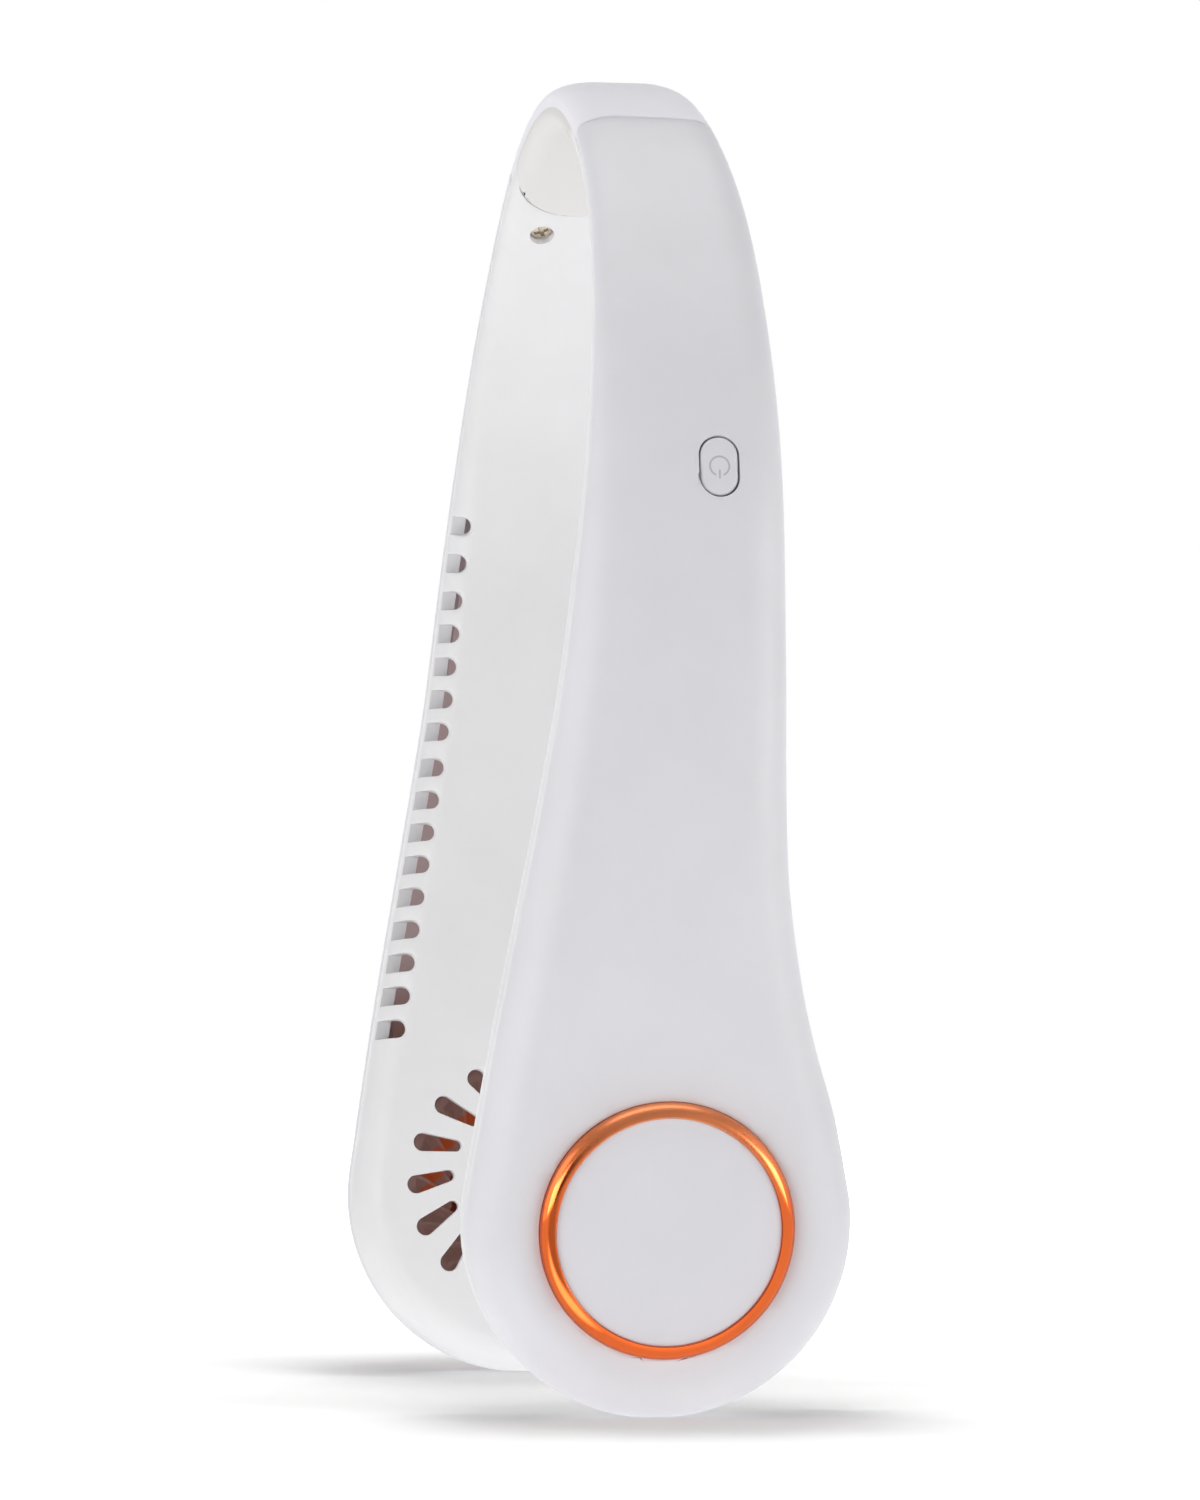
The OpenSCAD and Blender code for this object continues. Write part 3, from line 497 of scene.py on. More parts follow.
def rounded(points, radius, steps=4, corners=None):
    """The outline (radius, height) with the corners of these numbers rounded, or all of them."""
    made = []
    for i, p in enumerate(points):
        if corners is not None and i not in corners:
            made.append(p)
            continue
        p0, p1, p2 = Vector(points[i - 1]), Vector(p), Vector(points[(i + 1) % len(points)])
        a, b = (p0 - p1).normalized(), (p2 - p1).normalized()
        half = a.angle(b) / 2
        reach = min(radius / math.tan(half), (p0 - p1).length * 0.49, (p2 - p1).length * 0.49)
        start, end = p1 + a * reach, p1 + b * reach
        for t in (k / steps for k in range(steps + 1)):
            made.append(tuple(start * (1 - t) ** 2 + p1 * 2 * t * (1 - t) + end * t * t))
    return made


def prism(name, outline, low, high, matrix):
    """An outline in millimetres, raised from low to high in a local frame."""
    obj = laid_circle(name, [(x, y, low) for x, y in outline], "NGON")

    def steps():
        bpy.ops.mesh.extrude_region_move(
            TRANSFORM_OT_translate={"value": (0, 0, (high - low) * MM)}
        )
        face_outwards()

    edit(obj, steps)
    place(obj, matrix)
    return obj


def joined(pieces, name):
    deselect()
    for p in pieces:
        p.select_set(True)
    bpy.context.view_layer.objects.active = pieces[0]
    if len(pieces) > 1:
        bpy.ops.object.join()
    pieces[0].name = pieces[0].data.name = name
    return pieces[0]


def boolean(obj, cutter, operation="DIFFERENCE"):
    apply_modifier(
        obj, "BOOLEAN", operation=operation, object=cutter, solver="MANIFOLD",
        material_mode="TRANSFER",
    )
    bpy.data.objects.remove(cutter, do_unlink=True)


SKIN, CUT, INSIDE = 0, 1, 2


def tag_faces(obj, index):
    for p in obj.data.polygons:
        p.material_index = index


def mark(obj, index):
    """Marks a whole piece as skin, as cut faces or as inside, which lasts while the piece is made."""
    obj.data.materials.clear()
    for name in ("skin", "cut", "inside"):
        obj.data.materials.append(bpy.data.materials.get(name) or bpy.data.materials.new(name))
    tag_faces(obj, index)


def merge(obj, piece):
    mark(piece, INSIDE)
    boolean(obj, piece, "UNION")


def cut_away(obj, cutter):
    mark(cutter, CUT)
    boolean(obj, cutter)


def soften(obj, width, between, angle, segments=2, weld=0.0, near=lambda p: True):
    """Rounds the edges between faces of two marks that meet at more than an angle.

    Points on those edges that lie closer than weld times the width are merged first.
    """

    def lip(e):
        if len(e.link_faces) != 2 or e.calc_face_angle(0) < math.radians(angle):
            return False
        marks = {f.material_index for f in e.link_faces}
        return marks == between and near((e.verts[0].co + e.verts[1].co) / 2)

    def steps():
        if weld:
            bm = bmesh.from_edit_mesh(obj.data)
            verts = dict.fromkeys(v for e in bm.edges if lip(e) for v in e.verts)
            bmesh.ops.remove_doubles(bm, verts=list(verts), dist=width * weld)
            bmesh.update_edit_mesh(obj.data)
        if select_edges(obj, lip):
            bpy.ops.mesh.bevel(
                offset=width, segments=segments, profile=0.5, affect="EDGES", clamp_overlap=False,
                loop_slide=not weld,
            )

    edit(obj, steps)


def smooth(obj, degrees=32):
    activate(obj)
    bpy.ops.object.shade_smooth_by_angle(angle=math.radians(degrees))


def settle(obj, material, body, slot, *nodes):
    """Gives a finished piece its material and its body, and hides the CAD nodes that it stands for. The
    slot is not used.
    """
    obj.data.materials.clear()
    obj.data.materials.append(material)
    tag_faces(obj, 0)
    if body:
        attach(obj, body)
    if nodes:
        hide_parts(*nodes)
    return obj


ARMS = {-1: "button_arm", 1: "plain_arm"}

# ---------------------------------------------------------------- sizes and finishes

# The ring's colour high up, paler as a painted sheen, and its roughness low and high, each with the heights
# between which it changes
RING_PAINTED_SHEEN_TONE = (0.74, 0.25, 0.10)
RING_SHEEN_Z = (0.035, 0.053)
RING_ROUGH = (0.06, 0.34)
RING_ROUGH_Z = (0.034, 0.052)
HUB_R = 13.5
# Painted light: the ducts and impellers glow in these colours, in place of the light reaching them through
# the slots.
GLOW_LOW = (0.092, 0.050, 0.043)
GLOW_HIGH = (0.245, 0.188, 0.19)
GLOW_HUB = (0.155, 0.026, 0.006)
# In metres: the heights between which a duct's painted glow grows, the radii that the impeller's painted
# glow is laid out over, the hub ring's radii, and the height above which it glows
GLOW_Z = (0.062, 0.078)
GLOW_SPAN = (0.010, 0.026)
HUB_RING_R = (0.0161, 0.0183)
HUB_RING_Z = 0.0308


def length(name, description, default, low, high):
    """A size of the panel, given in millimetres."""
    return FloatProperty(
        name=name, description=description, default=default * MM, min=low * MM, max=high * MM,
        unit="LENGTH", precision=5)


def tint(name, description, default):
    """A colour of the panel."""
    return FloatVectorProperty(
        name=name, description=description, default=default, size=3, min=0, max=1, subtype="COLOR")


class NeckFanSizes(bpy.types.PropertyGroup):
    """Small sizes of the pieces that the CAD frame leaves open."""

    rim_round: length(
        "Parting line rounding", "Rounding of the shells' rims at the parting line", 0.16, 0.02, 0.5)
    slot_lip: length("Outlet lip", "Rounding of the lips of the outlet slots", 0.28, 0.05, 0.6)
    intake_lip: length("Intake lip", "Rounding of the lips of the intake slots", 0.22, 0.05, 0.5)
    soft_round: length("Soft edge", "Rounding of the soft liner's and sleeve's edges", 0.3, 0.05, 0.5)
    ring_w: length("Ring width", "Width of the plated trim ring", 2.35, 1.8, 3)
    disc_round: length("Disc edge", "Rounding of the raised disc's edge", 0.35, 0.1, 1.2)


class NeckFanFinish(bpy.types.PropertyGroup):
    """Colours of the finishes."""

    # Painted light: the outer shells, discs and sleeve are tinted bluer than the inner shells, a painted
    # cool light, and the outer shells and discs are darker, a painted shade on their faces.
    outer: tint("Outer shells", "Matt plastic of the two outer shells", (0.757, 0.755, 0.790))
    inner: tint("Inner shells", "Matt plastic of the two inner shells", (0.805, 0.803, 0.815))
    disc: tint("Disc", "Matt plastic of the raised discs", (0.745, 0.742, 0.782))
    sleeve: tint("Sleeve", "Silicone of the bridge's sleeve", (0.885, 0.878, 0.930))
    liner: tint("Liner", "Silicone of the bridge's liner", (0.755, 0.748, 0.742))
    trim: tint("Plated trim", "Orange plating of the trim rings", (0.76, 0.135, 0.024))
    duct: tint("Duct", "Brown plastic of the air ducts", (0.16, 0.12, 0.115))
    fan: tint("Impeller", "Brown plastic of the impellers", (0.16, 0.10, 0.09))
    hub: tint("Hub", "Red-brown plastic of the impellers' hubs", (0.38, 0.09, 0.025))
    floor: tint("Floor", "The pale studio floor", (0.80, 0.80, 0.80))


def sizes():
    return bpy.context.scene.neck_fan_sizes


def finish():
    return bpy.context.scene.neck_fan_finish


class Tree:
    """A node tree under construction."""

    def __init__(self, tree):
        self.tree = tree
        tree.nodes.clear()

    def add(self, kind, inputs=None, **values):
        """A new node. Each of its named inputs is given a value, or the output that leads to it."""
        n = self.tree.nodes.new("ShaderNode" + kind)
        for key, value in values.items():
            setattr(n, key, value)
        for key, value in (inputs or {}).items():
            if isinstance(value, bpy.types.NodeSocket):
                self.tree.links.new(value, n.inputs[key])
            else:
                n.inputs[key].default_value = value
        return n

    def maths(self, operation, a, b):
        return self.add("Math", {0: a, 1: b}, operation=operation).outputs[0]

    def height(self, coords):
        return self.add("SeparateXYZ", {0: coords}).outputs["Z"]

    def light_path(self, name):
        return self.add("LightPath").outputs[name]

    def spread(self, source, low, high, start=0.3, end=0.7, smooth=False):
        """Low to high, as the source goes from start to end."""
        return self.add("MapRange", {
            "From Min": start, "From Max": end, "To Min": low, "To Max": high, "Value": source,
        }, interpolation_type="SMOOTHSTEP" if smooth else "LINEAR").outputs["Result"]

    def seen_directly(self):
        """1 for what the camera sees, also through glass, 0 for what lights the object."""
        path = self.add("LightPath")
        return self.maths("MAXIMUM", path.outputs["Is Camera Ray"], path.outputs["Is Transmission Ray"])

    def tone_by_direction(self, toward, table):
        """A value that changes round each direction of the table."""
        tone = None
        for direction, between, tones in table:
            dot = self.add(
                "VectorMath", {0: toward, 1: Vector(direction).normalized()}, operation="DOT_PRODUCT")
            part = self.spread(dot.outputs["Value"], *tones, *between, smooth=True)
            tone = part if tone is None else self.maths("MULTIPLY", tone, part)
        return tone


class Finish(Tree):
    """A material under construction, with Object coordinates at hand."""

    def __init__(self, name):
        self.material = bpy.data.materials.get(name) or bpy.data.materials.new(name)
        self.material.use_nodes = True
        super().__init__(self.material.node_tree)
        self.shader = self.add("BsdfPrincipled")
        self.add("OutputMaterial", {"Surface": self.shader.outputs[0]})
        self.coords = self.add("TexCoord").outputs["Object"]

    def put(self, **values):
        """Sets sockets of the shader, or links outputs to them."""
        for key, value in values.items():
            socket = self.shader.inputs[key.replace("_", " ")]
            if isinstance(value, bpy.types.NodeSocket):
                self.tree.links.new(value, socket)
            else:
                socket.default_value = value

    def noise(self, scale, detail=3.0, roughness=0.5):
        return self.add("TexNoise", {
            "Scale": scale, "Detail": detail, "Roughness": roughness, "Vector": self.coords,
        }).outputs["Fac"]

    def ramp(self, source, *stops):
        n = self.add("ValToRGB", {"Fac": source})
        while len(n.color_ramp.elements) < len(stops):
            n.color_ramp.elements.new(0.5)
        for e, (at, colour) in zip(n.color_ramp.elements, stops):
            e.position = at
            e.color = (*colour, 1)
        return n.outputs["Color"]

    def bump(self, source, strength, distance):
        return self.add("Bump", {
            "Strength": strength, "Distance": distance, "Height": source,
        }).outputs["Normal"]


def shade(colour, factor):
    return tuple(min(1.0, c * factor) for c in colour)


def moulded(name, colour, rough=0.5, grain=0.42, mottle=0.02, **more):
    """Moulded plastic: a fine spark-eroded grain (in millimetres) and a slight mottle of tone."""
    m = Finish(name)
    tone = m.noise(55, 4, 0.6)
    m.put(
        Base_Color=m.ramp(tone, (0.3, shade(colour, 1 - mottle)), (0.7, shade(colour, 1 + mottle))),
        Roughness=m.spread(m.noise(420), rough - 0.05, rough + 0.05),
        Normal=m.bump(m.noise(1 / (grain * MM), 2, 0.6), 0.5, 0.01 * MM),
        **more,
    )
    return m.material


def silicone(name, colour):
    """Soft-touch silicone: dull, with a faint sheen and a very fine skin."""
    m = Finish(name)
    m.put(
        Base_Color=m.ramp(m.noise(40, 4, 0.6), (0.3, shade(colour, 0.985)), (0.7, shade(colour, 1.015))),
        Roughness=m.spread(m.noise(300), 0.58, 0.68),
        Normal=m.bump(m.noise(1 / (0.3 * MM), 3, 0.6), 0.4, 0.008 * MM),
        Specular_IOR_Level=0.4, Sheen_Weight=0.08, Sheen_Roughness=0.5,
    )
    return m.material


def plated(name, colour):
    """Electroplated plastic: a bright orange metal plating under lacquer, duller higher up, and paler
    higher up as a painted sheen.
    """
    m = Finish(name)
    height = m.height(m.coords)
    # Painted sheen: the colour turns paler towards the ring's top, in place of the brighter light mirrored
    # there.
    plating_with_sheen = m.ramp(m.spread(height, 0, 1, *RING_SHEEN_Z), (0.0, colour), (1.0, RING_PAINTED_SHEEN_TONE))
    uneven = m.add("HueSaturation", {
        "Value": m.spread(m.noise(130), 0.96, 1.04), "Color": plating_with_sheen,
    })
    m.put(
        Base_Color=uneven.outputs[0],
        Roughness=m.maths(
            "ADD", m.spread(height, *RING_ROUGH, *RING_ROUGH_Z), m.spread(m.noise(900, 4, 0.6), 0.0, 0.06)),
        Normal=m.bump(m.noise(700, 2), 0.25, 0.012 * MM),
        Metallic=1.0, Coat_Weight=0.25, Coat_Roughness=0.06,
    )
    return m.material


def metal(name, colour, rough=0.3):
    """Bare or plated metal with fine drawn lines and a slight tarnish."""
    m = Finish(name)
    m.put(
        Base_Color=m.ramp(m.noise(300, 4, 0.6), (0.3, shade(colour, 0.9)), (0.75, colour)),
        Roughness=m.spread(m.noise(1500, 4, 0.7), rough - 0.07, rough + 0.1),
        Normal=m.bump(m.noise(1500, 3, 0.6), 0.35, 0.015 * MM),
        Metallic=1.0,
    )
    return m.material


# ---------------------------------------------------------------- pieces


class NECKFAN_OT_outer_shells(bpy.types.Operator):
    """The outer shell of each arm, with a round pocket for the ring, and the button's opening on one."""

    bl_idname = "neck_fan.outer_shells"
    bl_label = "Outer shells"

    def execute(self, context):
        for arm, name in ARMS.items():
            obj = shell_skin(1, arm)
            plate = spun("plate", box(0, RING_R + WALL, PLATE_H, PLATE_TOP), 96)
            place(plate, fan_station(arm))
            merge(obj, plate)
            cutters = [prism(
                "cut", circle(RING_R + RING_GAP, 128), POCKET_H, BULB_DEPTHS[1] + 1, fan_station(arm))]
            if arm < 0:
                cutters.append(prism(
                    "cut", pill(BUTTON_W + 2 * BUTTON_GAP, BUTTON_LEN + 2 * BUTTON_GAP, 24),
                    0.5, depth(1, BUTTON_S) + 1, station(BUTTON_S, BUTTON_X)))
            cut_away(obj, joined(cutters, "cuts"))
            soften(obj, sizes().intake_lip, {SKIN, CUT}, 25, weld=0.45)
            soften(obj, sizes().rim_round, {SKIN, INSIDE}, 50)
            smooth(obj)
            settle(obj, materials()["outer"], name, "shell", f"{name}_outer_shell")
        return {"FINISHED"}


class NECKFAN_OT_inner_shells(bpy.types.Operator):
    """The inner shell of each arm: outlet slots along the edge, the intake grille, and screw recesses."""

    bl_idname = "neck_fan.inner_shells"
    bl_label = "Inner shells"

    def execute(self, context):
        for arm, name in ARMS.items():
            obj = shell_skin(-1, arm)
            through = outlet_cutters(arm) + intake_cutters(arm)
            for s, x in SCREWS:
                low, wall = -depth(-1, s), SCREW_RECESS_R + WALL / 2
                post = spun("post", rounded([
                    (wall, low + WALL / 2), (wall, SCREW_POST_H), (SCREW_HOLE_R, SCREW_POST_H),
                    (SCREW_HOLE_R, low + WALL / 2)], 0.1, 1), 48)
                step = spun("cut", [
                    (0, low - 1), (SCREW_RECESS_R, low - 1), (SCREW_RECESS_R, SCREW_SEAT_H),
                    (SCREW_HOLE_R, SCREW_SEAT_H), (SCREW_HOLE_R, 1), (0, 1)], 48)
                for piece in (post, step):
                    place(piece, station(s, x, arm))
                merge(obj, post)
                through.append(step)
            merge(obj, slot_ledge(arm))
            if arm < 0:
                through.append(port_cutter())
            cut_away(obj, joined(through, "cuts"))
            cut_away(obj, joined(lip_cutters(arm), "lips"))
            cut_away(obj, liner_seat_cutter(arm))
            cut_away(obj, beyond_seam_cutter(arm))
            cut_away(obj, band_solid(
                "cut", -60, 60, SPLIT_H - PARTING_GAP, 25, SEAM_S - SEAM_GAP / 2, arm, beyond=True))
            soften(obj, sizes().rim_round, {SKIN, INSIDE}, 50)
            smooth(obj, 38)
            settle(obj, materials()["inner"], name, "shell", f"{name}_inner_shell")
        return {"FINISHED"}


def shell_skin(out, arm):
    """The skin of a shell with its wall, from the foot of the round end to the seam."""
    turns, steps = 26, 84
    end = SEAM_S - SEAM_GAP / 2 if out > 0 else SEAM_S + EAR_LEN
    ats = [("bulb", math.radians(90 + JOIN_ANGLE) * i / turns) for i in range(turns + 1)]
    ats += [("arm", JOIN_S + (end - JOIN_S) * i / steps) for i in range(1, steps + 1)]
    rim = 0.0 if out > 0 else -PARTING_GAP
    rows = [[spot(x, s, h, arm) for x, s, h in skin_ring(out, at, rim)] for at in ats]
    name = f"{ARMS[arm]}_{'outer' if out > 0 else 'inner'}_skin"
    obj = laid_grid(name, rows, keep=lambda p: Vector((p.x, p.y, max(p.z, 0.0))))
    mark(obj, SKIN)
    edit(obj, lambda: bpy.ops.mesh.remove_doubles(threshold=2e-6))
    outside = spot(0, 60, out * 10, arm)
    middle = min(obj.data.polygons, key=lambda p: (p.center - outside).length)
    if middle.normal.dot(outside - spot(0, 60, 0, arm)) < 0:
        edit(obj, lambda: bpy.ops.mesh.flip_normals())
    apply_modifier(
        obj, "SOLIDIFY", thickness=WALL * MM, offset=-1, use_even_offset=True, use_rim=True,
        material_offset=INSIDE, material_offset_rim=INSIDE,
    )
    return obj


def port_cutter():
    """The charging socket's opening through the +X edge."""
    at = Matrix.Translation((0, (PORT_S - BOARD_MID_S) * MM, PORT_H * MM))
    m = station(BOARD_MID_S, half_width(1, PORT_S) - 0.5) @ at @ Matrix.Rotation(math.pi / 2, 4, "Y")
    return prism("cut", pill(PORT_T + 2 * PORT_GAP, PORT_W + 2 * PORT_GAP, 16), -5, WALL + 1, m)


def skin_h(x, s):
    """The height of an inner shell's skin over a place."""
    d, w = depth(-1, s), edge_w(-1, s)
    side = -1 if x < 0 else 1
    inset = half_width(side, s) - abs(x)
    if inset >= w:
        return -d
    rise = math.sqrt(max(0.0, 1 - (1 - max(inset, 0) / w) ** 2))
    return -d * (SIDE_SHARE + (1 - SIDE_SHARE) * rise)


def lip_cutter(outline, radius, arm, top=0.0):
    """A ring that rounds the lip of a cut where it meets the inner shell's skin."""
    return laid_grid("lip", [
        [spot(x, s, min(skin_h(x, s) + sink * radius, top), arm) for x, s in outline(grow * radius)]
        for grow, sink in LIP_ROWS
    ], closed=True)


def outlets():
    """Each outlet slot: its place along the arm, and the middle of its round end across the arm."""
    for i in range(SLOT_COUNT):
        s = SLOT_FIRST + i * SLOT_PITCH + SLOT_RIB * sum(1 for r in RIB_SLOTS if i >= r)
        reach = SLOT_REACH[0] + (SLOT_REACH[1] - SLOT_REACH[0]) * i / (SLOT_COUNT - 1)
        yield s, reach - half_width(-1, s) - SLOT_W / 2


def outlet_cutters(arm):
    """One cutter for each outlet slot: round at its inner end, open at the arm's edge."""
    made, r = [], SLOT_W / 2
    for s, x in outlets():
        d = depth(-1, s)
        outline = [(x - 20, r), (x - 20, -r)]
        outline += [
            (x + r * math.cos(a), r * math.sin(a)) for a in (math.pi * (k / 16 - 0.5) for k in range(17))]
        made.append(prism("cut", outline, -d - 1, -SLOT_TO * d, station(s, 0, arm)))
    return made


def slot_ledge(arm):
    """The thicker wall that the outlet slots end on."""
    rows, count = [], 60
    first, last = SLOT_FIRST - SLOT_W, SLOT_FIRST + SLOT_COUNT * SLOT_PITCH + 2
    for s in (first + (last - first) * i / count for i in range(count + 1)):
        low = -LEDGE_FROM * depth(-1, s)
        ring = []
        for k in range(9):
            h = low + (LEDGE_TOP - low) * k / 8
            ring.append((inset_at(-1, s, h) + WALL - LEDGE_SUNK - half_width(-1, s), h))
        ring += [(x + LEDGE_SUNK + LEDGE_T, h) for x, h in ring[::-1]]
        rows.append([spot(x, s, h, arm) for x, h in ring])
    return laid_grid("ledge", rows, closed=True)


def teardrop(grow=0.0):
    """The outline of an intake slot that lies along the x axis."""
    inner = Vector((INTAKE_INNER_R * math.cos(INTAKE_SWIRL), -INTAKE_INNER_R * math.sin(INTAKE_SWIRL)))
    skew = math.atan2(-inner.y, INTAKE_OUTER_R - inner.x)
    outline = []
    for centre, r, start in (
        (Vector((INTAKE_OUTER_R, 0)), INTAKE_WIDE / 2 + grow, -math.pi / 2),
        (inner, INTAKE_NARROW / 2 + grow, math.pi / 2),
    ):
        for k in range(13):
            a = start + skew + math.pi * k / 12
            outline.append((centre.x + r * math.cos(a), centre.y + r * math.sin(a)))
    return outline


def intake_cutters(arm):
    """One teardrop cutter for each intake slot."""
    d = BULB_DEPTHS[-1]
    middle = station(MOTOR_S, MOTOR_X, arm) @ Matrix.Translation(
        (INTAKE_SHIFT[0] * MM, INTAKE_SHIFT[1] * MM, 0))
    return [
        prism("cut", teardrop(), -d - 1, -d + WALL + 1, middle @ Matrix.Rotation(turn, 4, "Z"))
        for turn in INTAKE_TURNS
    ]


def lip_cutters(arm):
    """One cutter for the rounded lip of each outlet slot and each intake slot."""
    made = []
    for s, x in outlets():
        edge = LIP_START - half_width(-1, s)

        def slot(grow):
            r = SLOT_W / 2 + grow
            side = [edge + (x - edge) * k / 8 for k in range(9)]
            turns = [math.pi * (k / 16 - 0.5) for k in range(1, 16)]
            end = [(x + r * math.cos(a), s + r * math.sin(a)) for a in turns]
            return [(q, s - r) for q in side] + end + [(q, s + r) for q in side[::-1]]

        made.append(lip_cutter(slot, sizes().slot_lip / MM, arm, -LIP_TO * depth(-1, s)))
    for turn in INTAKE_TURNS:
        c, k = math.cos(turn), math.sin(turn)

        def mouth(grow):
            return [
                (MOTOR_X + INTAKE_SHIFT[0] + x * c - y * k, MOTOR_S + INTAKE_SHIFT[1] + x * k + y * c)
                for x, y in teardrop(grow)]

        made.append(lip_cutter(mouth, sizes().intake_lip / MM, arm))
    return made


def liner_outline(grow, far):
    """The liner's end in the plane of its end station: round corners, then straight on."""
    s = LINER_END_S + LINER_CORNER_R / 2
    corners = {}
    for side in (1, -1):
        centre = side * (half_width(side, s) - LINER_CORNER_R)
        corners[side] = arc(
            centre, LINER_CORNER_R, LINER_CORNER_R + grow, -math.pi / 2, side * math.pi / 2, 16)
    points = corners[1][::-1] + corners[-1]
    left, right = points[-1][0] - 5, points[0][0] + 5
    return [(right, far), (right, points[0][1])] + points + [(left, points[-1][1]), (left, far)]


def liner_seat_cutter(arm):
    """The let-in for the liner's lap."""
    top = LINER_IN - depth(-1, SEAM_S)
    return prism(
        "cut", liner_outline(LAP_GAP, 12), -depth(-1, SEAM_S) - 4, top, station(LINER_END_S, 0, arm))


def beyond_seam_cutter(arm):
    """All past the seam but for the edges that run on round the liner's corners."""
    start, steps = LINER_LAP - SEAM_GAP / 2, 24
    s = LINER_END_S + LINER_CORNER_R / 2
    r = LINER_CORNER_R - EAR_LAP
    sides = {}
    for side in (-1, 1):
        centre = side * (half_width(side, s) - LINER_CORNER_R)
        points = []
        for k in range(steps + 1):
            y = start + (LINER_CORNER_R - start) * k / steps
            points.append((centre + side * math.sqrt(max(r * r - (LINER_CORNER_R - y) ** 2, 0)), y))
        x, y = points[-1]
        sides[side] = points + [(x + side * 4, y), (x + side * 4, 40)]
    return prism("cut", sides[1] + sides[-1][::-1], -30, 30, station(LINER_END_S, 0, arm))


class NECKFAN_OT_trim(bpy.types.Operator):
    """The plated ring and the raised disc of each round end."""

    bl_idname = "neck_fan.trim"
    bl_label = "Rings and discs"

    def execute(self, context):
        w = sizes().ring_w / MM
        top = BULB_DEPTHS[1] + RING_RISE
        steps = 24
        run = (w - RING_BEVEL) / steps
        crest = [(RING_R - w + RING_BEVEL, top + RING_BEVEL)]
        for k in range(steps):
            slope = RING_SLOPES[0] + (RING_SLOPES[1] - RING_SLOPES[0]) * ((k + 0.5) / steps) ** RING_CURVE
            crest.append((crest[-1][0] + run, crest[-1][1] - run * math.tan(slope)))
        profile = [(RING_R - w, POCKET_H), (RING_R, POCKET_H)] + crest[::-1] + [
            (RING_R - w + 0.03, top + 0.07), (RING_R - w, top)]
        disc = rounded(
            box(0, RING_R - w + 0.02, POCKET_H, BULB_DEPTHS[1] + DISC_RISE), sizes().disc_round / MM,
            5, [2])
        for arm, name in ARMS.items():
            for label, outline, turns, angle, finish_of, slot, node in (
                ("plated_ring", profile, 160, 40, "trim", "trim", "trim_ring"),
                ("raised_disc", disc, 128, 30, "disc", "disc", "disc"),
            ):
                obj = spun(f"{name}_{label}", outline, turns)
                place(obj, fan_station(arm))
                smooth(obj, angle)
                settle(obj, materials()[finish_of], name, slot, f"{name}_{node}")
        return {"FINISHED"}


class NECKFAN_OT_button(bpy.types.Operator):
    """The power button with its flange, and the power symbol let into its top."""

    bl_idname = "neck_fan.button"
    bl_label = "Power button"

    def execute(self, context):
        at = station(BUTTON_S, BUTTON_X)
        top = depth(1, BUTTON_S) - BUTTON_SUNK
        flange = depth(1, BUTTON_S) - WALL - 2 * BUTTON_GAP
        r = BUTTON_ROUND
        rows = [(0.9, flange - 0.9), (0.9, flange), (0, flange), (0, top - r)]
        rows += arc(-r, top - r, r, 0, math.pi / 2, 6)[1:-1] + [(-r, top), (-1.4, top + 0.04)]
        obj = laid_grid("power_button_cap", [
            [Vector((x, y, h)) * MM for x, y in pill(BUTTON_W + 2 * grow, BUTTON_LEN + 2 * grow, 24)]
            for grow, h in rows
        ], closed=True)
        low, high = flange - 1.0, flange - 0.5
        boolean(obj, spun("stem", box(0, 1.6, low, high), 32), "UNION")
        place(obj, at)
        smooth(obj, 40)
        settle(obj, materials()["button"], "power_button", "button", "power_button")
        # the symbol: a broken ring with a short bar in its gap
        r, t = SYMBOL_R, SYMBOL_LINE / 2
        low, high = top - 0.12, top + 0.05
        broken = spun("arc", box(r - t, r + t, low, high), 96)
        boolean(broken, prism("cut", box(-0.62, 0.62, -3, 0), top - 1, top + 1, Matrix()))
        bar = prism("bar", pill(2 * t, 1.5, 8), low, high, Matrix.Translation((0, -1.35 * MM, 0)))
        symbol = joined([broken, bar], "power_symbol")
        place(symbol, at)
        smooth(symbol, 40)
        settle(symbol, materials()["symbol"], "power_button", "button")
        return {"FINISHED"}


def bridge_stations(first, count=24):
    """Stations from near the seam up to the crown, closer together near the crown."""
    return [first + (CROWN_S - first) * (1 - (1 - k / count) ** 1.7) for k in range(count + 1)]


def bridge_solid(name, out, rim, first, arm, count=46, proud=0.0, side_proud=0.0):
    """Half of the sleeve or the liner: a closed loft from beyond the seam to the crown."""
    rows = []
    for s in bridge_stations(first, count):
        if out > 0:
            levels = edge_levels(1, s, rim)
        else:
            span = depth(-1, s) + rim
            heights = [rim - span * math.sin(math.pi / 2 * k / 12) for k in range(13)]
            levels = [(inset_at(-1, s, h), h - proud * k / 12) for k, h in enumerate(heights)]
        levels = [(inset - side_proud * clamp(k / 2), h) for k, (inset, h) in enumerate(levels)]
        left, right = (down_the_edge(side, s, levels) for side in (-1, 1))
        ring = left + over_face(left[-1], right[-1], 10) + right[::-1]
        ring += over_face(ring[-1], ring[0], 8)
        rows.append([spot(x, min(q, CROWN_S), h, arm) for x, q, h in ring])
    return laid_grid(name, rows, closed=True)


def crown_flat(obj):
    """Puts the crown end exactly on the middle plane, so that both halves meet there."""
    for v in obj.data.vertices:
        if abs(v.co.y) < 2e-6:
            v.co.y = 0.0


